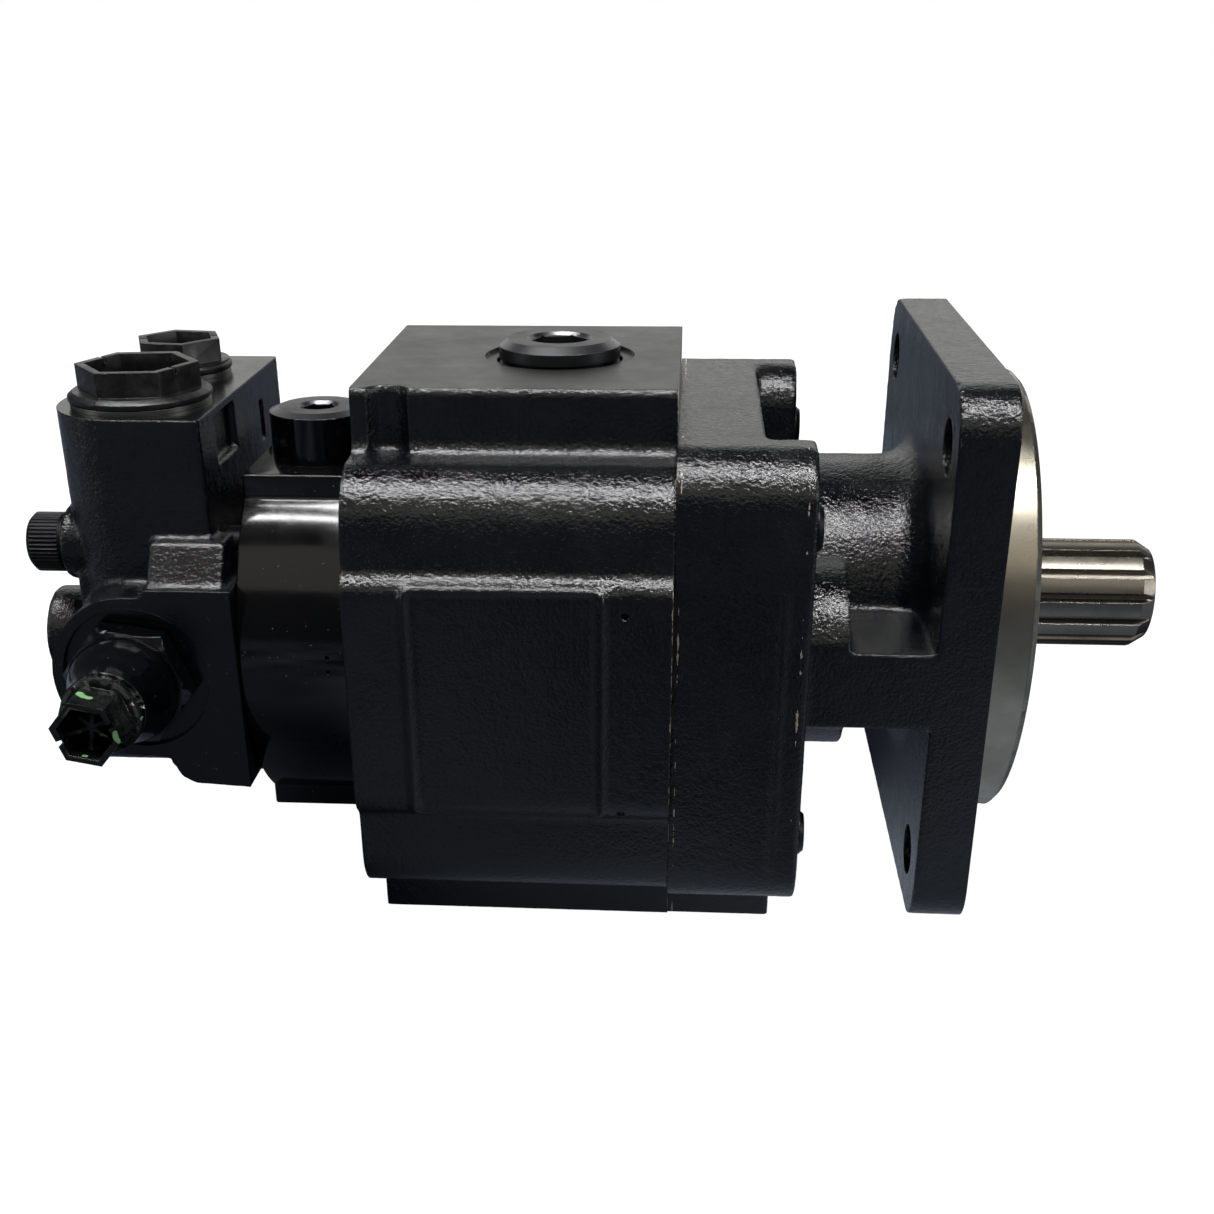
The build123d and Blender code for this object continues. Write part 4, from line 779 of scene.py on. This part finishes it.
def port_cap(name, at, flats, flange_r, hex_height, turn, thread_r):
    """An open hexagonal cap on a round flange, with a wall notched on two opposite sides."""
    wall = 2.1
    outer = flats / math.sqrt(3)
    bm = bmesh.new()
    profile = [(-11.0, 0), (-11.0, thread_r - 1.2), (-0.2, thread_r - 0.6),
               (0.0, flange_r - 0.5), (0.5, flange_r), (1.5, flange_r), (2.1, flange_r - 0.7),
               (2.6, outer + 1.0), (2.6, 0)]
    add_lathe(bm, "Z", at, profile, 128)
    obj = to_object(name, bm)
    bm = bmesh.new()
    add_prism(bm, "Z", (at[2] + 1.0, at[2] + hex_height), polygon(at[:2], outer, 6, turn))
    boolean(obj, to_object("hexagon", bm), "UNION")
    inner = polygon(at[:2], outer - wall * 2 / math.sqrt(3), 6, turn)
    cut(obj, lambda b: add_prism(b, "Z", (at[2] - 8.0, at[2] + hex_height + 1), inner))
    reach = flats / 2 - wall / 2
    for angle in (turn - 36, turn + 144):
        a = math.radians(angle)
        centre = Vector((at[0] + reach * math.cos(a), at[1] + reach * math.sin(a), 0))
        along, across = Vector((math.cos(a), math.sin(a), 0)), Vector((-math.sin(a), math.cos(a), 0))
        slot = [centre + along * u * 4 + across * v * 0.55 for u, v in CORNERS]
        rim = at[2] + hex_height
        cut(obj, lambda b: add_prism(b, "Z", (rim - 1.6, rim + 1), [p[:2] for p in slot]))
    bm = bmesh.new()
    floor_r = outer - 5.5
    add_lathe(bm, "Z", (at[0], at[1], at[2] - 8.5), [(0, 0), (0, floor_r), (3.5, floor_r), (3.5, 0)], 64)
    boolean(obj, to_object("inner_step", bm), "UNION")
    return bevel(obj, 0.35, 2, 35)


def fitting_piece():
    """The glossy fitting: a hexagon base that flows into a round necked body."""
    x, y, z = -223.6, VALVE_LOW.y, -1.2
    bm = bmesh.new()
    shank = [(-13.0, 0), (-13.0, 10.6), (1.0, 10.6), (4.0, 13.0)]
    dome = [(5.0, 14.4), (6.5, 14.5), (9.0, 14.2), (11.5, 13.4), (14.0, 12.2), (16.5, 11.1),
            (18.5, 10.5), (20.0, 10.2), (20.0, 0)]
    add_lathe(bm, "Y", (x, y, z), shank + dome, 128, -1)
    obj = to_object("fitting", bm)
    bm = bmesh.new()
    add_prism(bm, "Y", (y - 5.6, y + 0.8), polygon((x, z), 17.2, 6, 52))
    hexagon = to_object("fitting_hexagon", bm)
    bm = bmesh.new()
    add_lathe(bm, "Y", (x, y, z), [(-1.0, 0), (-1.0, 17.2), (3.4, 17.2), (5.6, 15.0), (5.6, 0)], 128, -1)
    boolean(hexagon, to_object("hexagon_crown", bm), "INTERSECT")
    boolean(obj, hexagon, "UNION")
    hole(obj, "Y", (y - 21, y - 5), (x, z), 7.1, 64)
    hole(obj, "Y", (y - 6, y + 20), (x, z), 3.0, 32)
    return bevel(obj, 0.4, 3, 28)


def fitting_cap_piece():
    """The small hexagonal cap on the fitting, with ribs inside its open end."""
    x, y, z = -224.4, VALVE_LOW.y - 20.0, -2.0
    outer = 15.6 / math.sqrt(3)
    bm = bmesh.new()
    profile = [(-9.0, 0), (-9.0, 6.6), (0.0, 6.8), (0.0, 10.1), (0.5, 10.4), (1.9, 10.4), (2.4, 9.9),
               (2.6, 8.2), (2.6, 0)]
    add_lathe(bm, "Y", (x, y, z), profile, 96, -1)
    obj = to_object("fitting_cap_hex", bm)
    bm = bmesh.new()
    add_prism(bm, "Y", (y - 13.4, y - 1.5), polygon((x, z), outer, 6, -10))
    boolean(obj, to_object("hexagon", bm), "UNION")
    cut(obj, lambda b: add_prism(b, "Y", (y - 15, y - 2.6), polygon((x, z), outer - 1.75, 6, -10)))
    for turn in (20.0, 80.0, 140.0):
        a = math.radians(turn)
        along, across = Vector((math.cos(a), math.sin(a))), Vector((-math.sin(a), math.cos(a)))
        middle = Vector((x, z))
        rib = [middle + along * u * 7.0 + across * v * 0.55 for u, v in CORNERS]
        bm = bmesh.new()
        add_prism(bm, "Y", (y - 8.5, y - 2.0), rib)
        boolean(obj, to_object("rib", bm), "UNION")
    for corner in (0, 3):
        a = math.radians(-10 + 60 * corner + 30)
        centre = Vector((x + 7.4 * math.cos(a), z + 7.4 * math.sin(a)))
        along, across = Vector((math.cos(a), math.sin(a))), Vector((-math.sin(a), math.cos(a)))
        slot = [centre + along * u * 2.2 + across * v * 0.7 for u, v in CORNERS]
        cut(obj, lambda b: add_prism(b, "Y", (y - 15, y - 10.5), slot))
    return bevel(obj, 0.3, 2, 35)


def knurled_head(bm, at, length, radius, ridges=44):
    """A knurled socket head standing along -X from its seat at at."""
    x, y, z = at
    outline = []
    for i in range(ridges * 4):
        a = 2 * math.pi * i / (ridges * 4)
        r = radius - (0.32 if i % 4 in (1, 2) else 0.0)
        outline.append((y + r * math.cos(a), z + r * math.sin(a)))
    add_prism(bm, "X", (x - length + 1.1, x - 1.3), outline)


def block_screw_pieces():
    """The four knurled screws that hold the valve block."""
    whole = None
    for y in (MID_Y - SCREW_DY, MID_Y + SCREW_DY):
        for z in (-SCREW_DZ, SCREW_DZ):
            bm = bmesh.new()
            knurled_head(bm, (SCREW_SEAT_X, y, z), 10.0, 8.0)
            head = to_object("screw_head", bm)
            bm = bmesh.new()
            core = [(-10.0, 0), (-10.0, 6.8), (-9.4, 7.4), (-8.9, 7.62), (-1.2, 7.62), (-0.7, 7.3),
                    (0.0, 7.3), (0.0, 5.0), (69.0, 5.0), (70.0, 4.2), (70.0, 0)]
            add_lathe(bm, "X", (SCREW_SEAT_X, y, z), core, 96)
            boolean(head, to_object("screw_core", bm), "UNION")
            corners = polygon((y, z), 8.0 / math.sqrt(3), 6, 12)
            cut(head, lambda b: add_prism(b, "X", (-257, -250.5), corners))
            whole = head if whole is None else join(whole, head)
    whole.name = "block_screw_set"
    return whole


def join(a, b):
    """Puts two objects' meshes into one object."""
    bm = bmesh.new()
    bm.from_mesh(a.data)
    bm.from_mesh(b.data)
    bm.to_mesh(a.data)
    bm.free()
    bpy.data.objects.remove(b, do_unlink=True)
    return a


def front_bolt_ends():
    """Chamfered bolt ends that stand a little proud of the lobes, and the sunk heads at the rear."""
    whole = None
    for y, z in BOLT_PLACES:
        bm = bmesh.new()
        profile = [(REAR_X + 0.6, 0), (REAR_X + 0.6, 7.8), (REAR_X + 1.3, 8.5),
                   (REAR_X + 12.4, 8.6), (REAR_X + 12.4, 6.0),
                   (LOBE_X + 0.9, 6.0), (LOBE_X + 2.1, 5.0), (LOBE_X + 2.1, 0)]
        add_lathe(bm, "X", (0, y, z), profile, 64)
        bolt = to_object("bolt", bm)
        corners = polygon((y, z), 10 / math.sqrt(3), 6)
        cut(bolt, lambda b: add_prism(b, "X", (REAR_X - 1, REAR_X + 6), corners))
        whole = bolt if whole is None else join(whole, bolt)
    whole.name = "housing_bolt_set"
    return whole


# ---------------------------------------------------------------- the pump
COVER_CHIPS = (("X", FRONT_X + 1.3, 0.9, 0.85), ("X", LOBE_X - 2.4, 1.4, 0.86), ("X", SEAM_X, 1.0, 0.89))
LOOKS = {
    "cover": cast_paint("cover_paint", COVER_CHIPS),
    "housing": cast_paint("housing_paint", (("X", FRONT_X, 0.8, 0.82),)),
    "machined": smooth_paint("machined_paint", (0.006, 0.0062, 0.0066), 0.32, 0.15),
    "rear": smooth_paint("rear_cover_paint", (0.002, 0.0021, 0.0024), 0.10, 0.25),
    "valve": cast_paint("valve_paint", (), 0.16),
    "valve_face": smooth_paint("valve_face_paint", (0.0014, 0.0018, 0.0026), 0.2, 0.10),
    "fitting": smooth_paint("fitting_paint", (0.0012, 0.0014, 0.002), 0.10, 0.10),
    "pilot": bare_steel("pilot_steel", (0.46, 0.42, 0.34), 0.26),
    "gear": bare_steel("gear_steel", (0.29, 0.265, 0.225), 0.24),
    "plug": bare_steel("plug_steel", (0.075, 0.078, 0.08), 0.36, "Z"),
    "bright": bare_steel("bright_steel", (0.16, 0.16, 0.17), 0.28, "Z"),
    "screw": bare_steel("black_oxide", (0.035, 0.035, 0.037), 0.36, "X"),
    "steel": bare_steel("hard_steel", (0.55, 0.55, 0.56), 0.22, "Y"),
    "bronze": bare_steel("bronze", (0.62, 0.43, 0.20), 0.30, "X"),
    "wire": bare_steel("spring_wire", (0.40, 0.40, 0.41), 0.30, "Z"),
    "washer": bare_steel("washer_steel", (0.30, 0.29, 0.27), 0.34, "Z"),
    "cap": plastic("cap_plastic", (0.0035, 0.0036, 0.004), 0.34),
    "fitting_cap": plastic("fitting_cap_plastic", (0.003, 0.0034, 0.0034), 0.22, ((0.16, 0.34, 0.14), 0.69)),
    "rubber": plastic("seal_rubber", (0.012, 0.012, 0.012), 0.55),
}
BODY = "pump_body"

cover = finish_cover(cover_casting())
cover.name = "mounting_cover_casting"
finish_piece(cover, BODY, ["mounting_cover"], [LOOKS["cover"], LOOKS["pilot"]])
paint_faces(cover, 1, lambda c, n: c.x > -0.01 * MM or Vector((0, c.y, c.z)).length < 27.7 * MM)
shade(cover, 42)

housing = finish_housing(housing_casting())
housing.name = "gear_housing_casting"
finish_piece(housing, BODY, ["gear_housing"], [LOOKS["housing"], LOOKS["machined"]])
paint_faces(housing, 1, lambda c, n: abs(n.z) > 0.999 and abs(c.z) > (PAD_Z - 1.1) * MM)
shade(housing, 42)

rear = rear_cover_piece()
finish_piece(rear, BODY, ["rear_cover"], [LOOKS["rear"]])
shade(rear)

valve = finish_valve(valve_casting())
valve.name = "valve_block_casting"
finish_piece(valve, BODY, ["valve_block"], [LOOKS["valve"], LOOKS["valve_face"]])
paint_faces(valve, 1, lambda c, n: n.z > 0.999 or (n.y < -0.999 and c.y < (VALVE_LOW.y + 2) * MM))
shade(valve, 42)

top_plug = socket_plug("top_plug_head", (PORT_X, MID_Y, PAD_Z - 1.0), 16.2, 5.5, (2.4, 1.7), 14.0, 6.0,
                       turn=10, skirt=0.8, thread=(16.5, 15.0))
finish_piece(top_plug, BODY, ["top_port_plug"], [LOOKS["plug"], LOOKS["bright"]])
paint_faces(top_plug, 1, lambda c, n: 0.3 < n.z < 0.95 and c.z > (PAD_Z + 2) * MM)
shade(top_plug, 25)

small_plug = socket_plug("gallery_plug_head", (-178.0, -36.0, REAR_HIGH.z), 13.2, 13.5, (2.6, 1.0), 8.6, 6.5,
                         thread=(9.0, 11.0))
finish_piece(small_plug, BODY, ["gallery_plug"],
             [LOOKS["fitting"], LOOKS["bright"], LOOKS["plug"]])
paint_faces(small_plug, 1, lambda c, n: 0.3 < n.z < 0.98 and c.z > (REAR_HIGH.z + 11) * MM)
paint_faces(small_plug, 2, lambda c, n: n.z > 0.98 and c.z > (REAR_HIGH.z + 11) * MM)
shade(small_plug, 18)

CAP_Z = VALVE_HIGH.z + 1.2
near_cap = port_cap("near_cap_hex", (CAP_X, NEAR_CAP_Y, CAP_Z), 28.0, 18.6, 8.9, 7, 13.0)
finish_piece(near_cap, BODY, ["near_port_cap"], [LOOKS["cap"]])
shade(near_cap, 30)
far_cap = port_cap("far_cap_hex", (CAP_X, FAR_CAP_Y, CAP_Z), 21.5, 14.0, 8.6, 51, 10.5)
finish_piece(far_cap, BODY, ["far_port_cap"], [LOOKS["cap"]])
shade(far_cap, 30)

fitting = fitting_piece()
finish_piece(fitting, BODY, ["port_fitting"], [LOOKS["fitting"]])
shade(fitting, 30)
cap = fitting_cap_piece()
finish_piece(cap, BODY, ["fitting_cap"], [LOOKS["fitting_cap"]])
shade(cap, 30)

screws = block_screw_pieces()
finish_piece(screws, BODY, ["block_screws"], [LOOKS["screw"]])
shade(screws, 25)
bolts = front_bolt_ends()
finish_piece(bolts, BODY, ["housing_bolts"], [LOOKS["screw"]])
shade(bolts)

# ---------------------------------------------------------------- carried-over CAD pieces
CAD_LOOKS = {
    "drive_gear_shaft": "gear", "idler_gear_shaft": "gear",
    "front_thrust_plate": "bronze", "rear_thrust_plate": "bronze",
    "front_drive_bushing": "bronze", "front_idler_bushing": "bronze",
    "rear_drive_bushing": "bronze", "rear_idler_bushing": "bronze",
    "shaft_seal": "rubber", "front_plate_seal": "rubber", "rear_plate_seal": "rubber",
    "front_face_seal": "rubber", "rear_face_seal": "rubber", "gallery_face_seals": "rubber",
    "top_plug_seal": "rubber", "gallery_plug_seal": "rubber",
    "seal_retaining_ring": "wire", "spool_spring": "wire", "relief_spring": "wire",
    "front_dowels": "steel", "rear_dowels": "steel", "control_spool": "steel", "relief_poppet": "steel",
    "rear_cover_screws": "screw", "spool_end_plug": "plug", "relief_plug": "plug",
    "near_cap_washer": "washer", "far_cap_washer": "washer",
}
for name, look in CAD_LOOKS.items():
    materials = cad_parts[name].data.materials
    materials.clear()
    materials.append(LOOKS[look])

# ---------------------------------------------------------------- floor, light and camera
FLOOR_Z = -FLANGE_HALF * MM - 0.0005


def area_light(name, at, target, size, power, color=(1, 1, 1)):
    """A soft rectangular studio light."""
    data = bpy.data.lights.new(name, "AREA")
    data.shape = "RECTANGLE"
    data.size, data.size_y = size
    data.energy = power
    data.color = color
    light = bpy.data.objects.new(name, data)
    light.location = at
    light.rotation_euler = (Vector(target) - Vector(at)).to_track_quat("-Z", "Y").to_euler()
    bpy.context.scene.collection.objects.link(light)
    return light


def seen_and_reflected(tree, seen, reflected):
    """Shows the camera one shader and everything else another: a dark studio round a white picture."""
    path = tree.nodes.new("ShaderNodeLightPath")
    mix = tree.nodes.new("ShaderNodeMixShader")
    tree.links.new(path.outputs["Is Camera Ray"], mix.inputs[0])
    tree.links.new(reflected.outputs[0], mix.inputs[1])
    tree.links.new(seen.outputs[0], mix.inputs[2])
    return mix


def glow(tree, brightness):
    """An even emission for the studio's walls and floor."""
    shader = tree.nodes.new("ShaderNodeEmission")
    shader.inputs["Color"].default_value = (brightness, brightness, brightness * 1.03, 1)
    return shader


floor_material = bpy.data.materials.new("floor")
floor_material.use_nodes = True
floor_tree = floor_material.node_tree
floor_paint = floor_tree.nodes["Principled BSDF"]
floor_paint.inputs["Base Color"].default_value = (0.12, 0.12, 0.12, 1)
floor_paint.inputs["Roughness"].default_value = 0.9
floor_paint.inputs["Emission Color"].default_value = (1, 1, 1, 1)
floor_paint.inputs["Emission Strength"].default_value = 1.0
floor_glow = glow(floor_tree, 0.13)
patches = noise_at(floor_material, 260.0, 2.0, 0.6)
dark_patch, light_patch = (0.02, 0.026, 0.036), (0.26, 0.30, 0.36)
link(floor_material, ramp(floor_material, patches, ((0.40, dark_patch), (0.62, light_patch))),
     floor_glow.inputs["Color"])
floor_mix = seen_and_reflected(floor_tree, floor_paint, floor_glow)
floor_tree.links.new(floor_mix.outputs[0], floor_tree.nodes["Material Output"].inputs["Surface"])
floor_bm = bmesh.new()
bmesh.ops.create_grid(floor_bm, x_segments=1, y_segments=1, size=8.0)
floor = to_object("floor", floor_bm)
floor.location.z = FLOOR_Z
floor.data.materials.append(floor_material)

world = bpy.data.worlds.new("studio")
bpy.context.scene.world = world
world.use_nodes = True
world_tree = world.node_tree
world_tree.nodes["Background"].inputs["Color"].default_value = (1.0, 1.0, 1.0, 1)
dark_room = world_tree.nodes.new("ShaderNodeBackground")
dark_room.inputs["Color"].default_value = (0.05, 0.052, 0.058, 1)
world_mix = seen_and_reflected(world_tree, world_tree.nodes["Background"], dark_room)
world_tree.links.new(world_mix.outputs[0], world_tree.nodes["World Output"].inputs["Surface"])

CENTRE = (-0.1, -0.02, 0.0)


def panel_light(name, at, size, radiance, target=CENTRE, color=(1, 1, 1)):
    """A softbox of a given radiance."""
    light = area_light(name, at, target, size, radiance * math.pi * size[0] * size[1], color)
    light.visible_camera = False
    return light


panel_light("tube_front", (-0.15, -0.33, 0.95), (1.5, 0.04), 48.0)
panel_light("tube_back", (-0.15, -0.20, 0.95), (1.5, 0.04), 48.0)
panel_light("warm_wall", (-0.2, -0.95, 0.85), (2.2, 0.6), 0.55, color=(1.0, 0.94, 0.82))
panel_light("back_wall", (-0.1, 1.9, 0.85), (3.2, 1.5), 0.70, color=(1.0, 1.0, 0.96))
panel_light("right_wall", (1.5, -0.3, 0.5), (0.5, 0.8), 3.0)
panel_light("left_wall", (-1.6, -0.5, 0.5), (0.3, 0.8), 3.0)

FOCAL_SHARE = 1.2789
EYE = Vector((-78.84, -448.08, 154.78)) * MM
PITCH, YAW, ROLL = math.radians(26.806), math.radians(-4.325), math.radians(0.5005)
ahead = Vector((math.sin(YAW) * math.cos(PITCH), math.cos(YAW) * math.cos(PITCH), -math.sin(PITCH)))
level = Vector((math.cos(YAW), -math.sin(YAW), 0))
down = ahead.cross(level)
right = level * math.cos(ROLL) + down * math.sin(ROLL)
down = down * math.cos(ROLL) - level * math.sin(ROLL)
camera_data = bpy.data.cameras.new("camera")
camera_data.sensor_width = 36.0
camera_data.lens = FOCAL_SHARE * camera_data.sensor_width
camera_data.shift_x = 0.0258
camera_data.shift_y = 0.156
camera = bpy.data.objects.new("camera", camera_data)
camera.matrix_world = Matrix((
    (right.x, -down.x, -ahead.x, EYE.x), (right.y, -down.y, -ahead.y, EYE.y),
    (right.z, -down.z, -ahead.z, EYE.z), (0, 0, 0, 1)))
bpy.context.scene.collection.objects.link(camera)
bpy.context.scene.camera = camera

bpy.context.scene.view_settings.view_transform = "Standard"
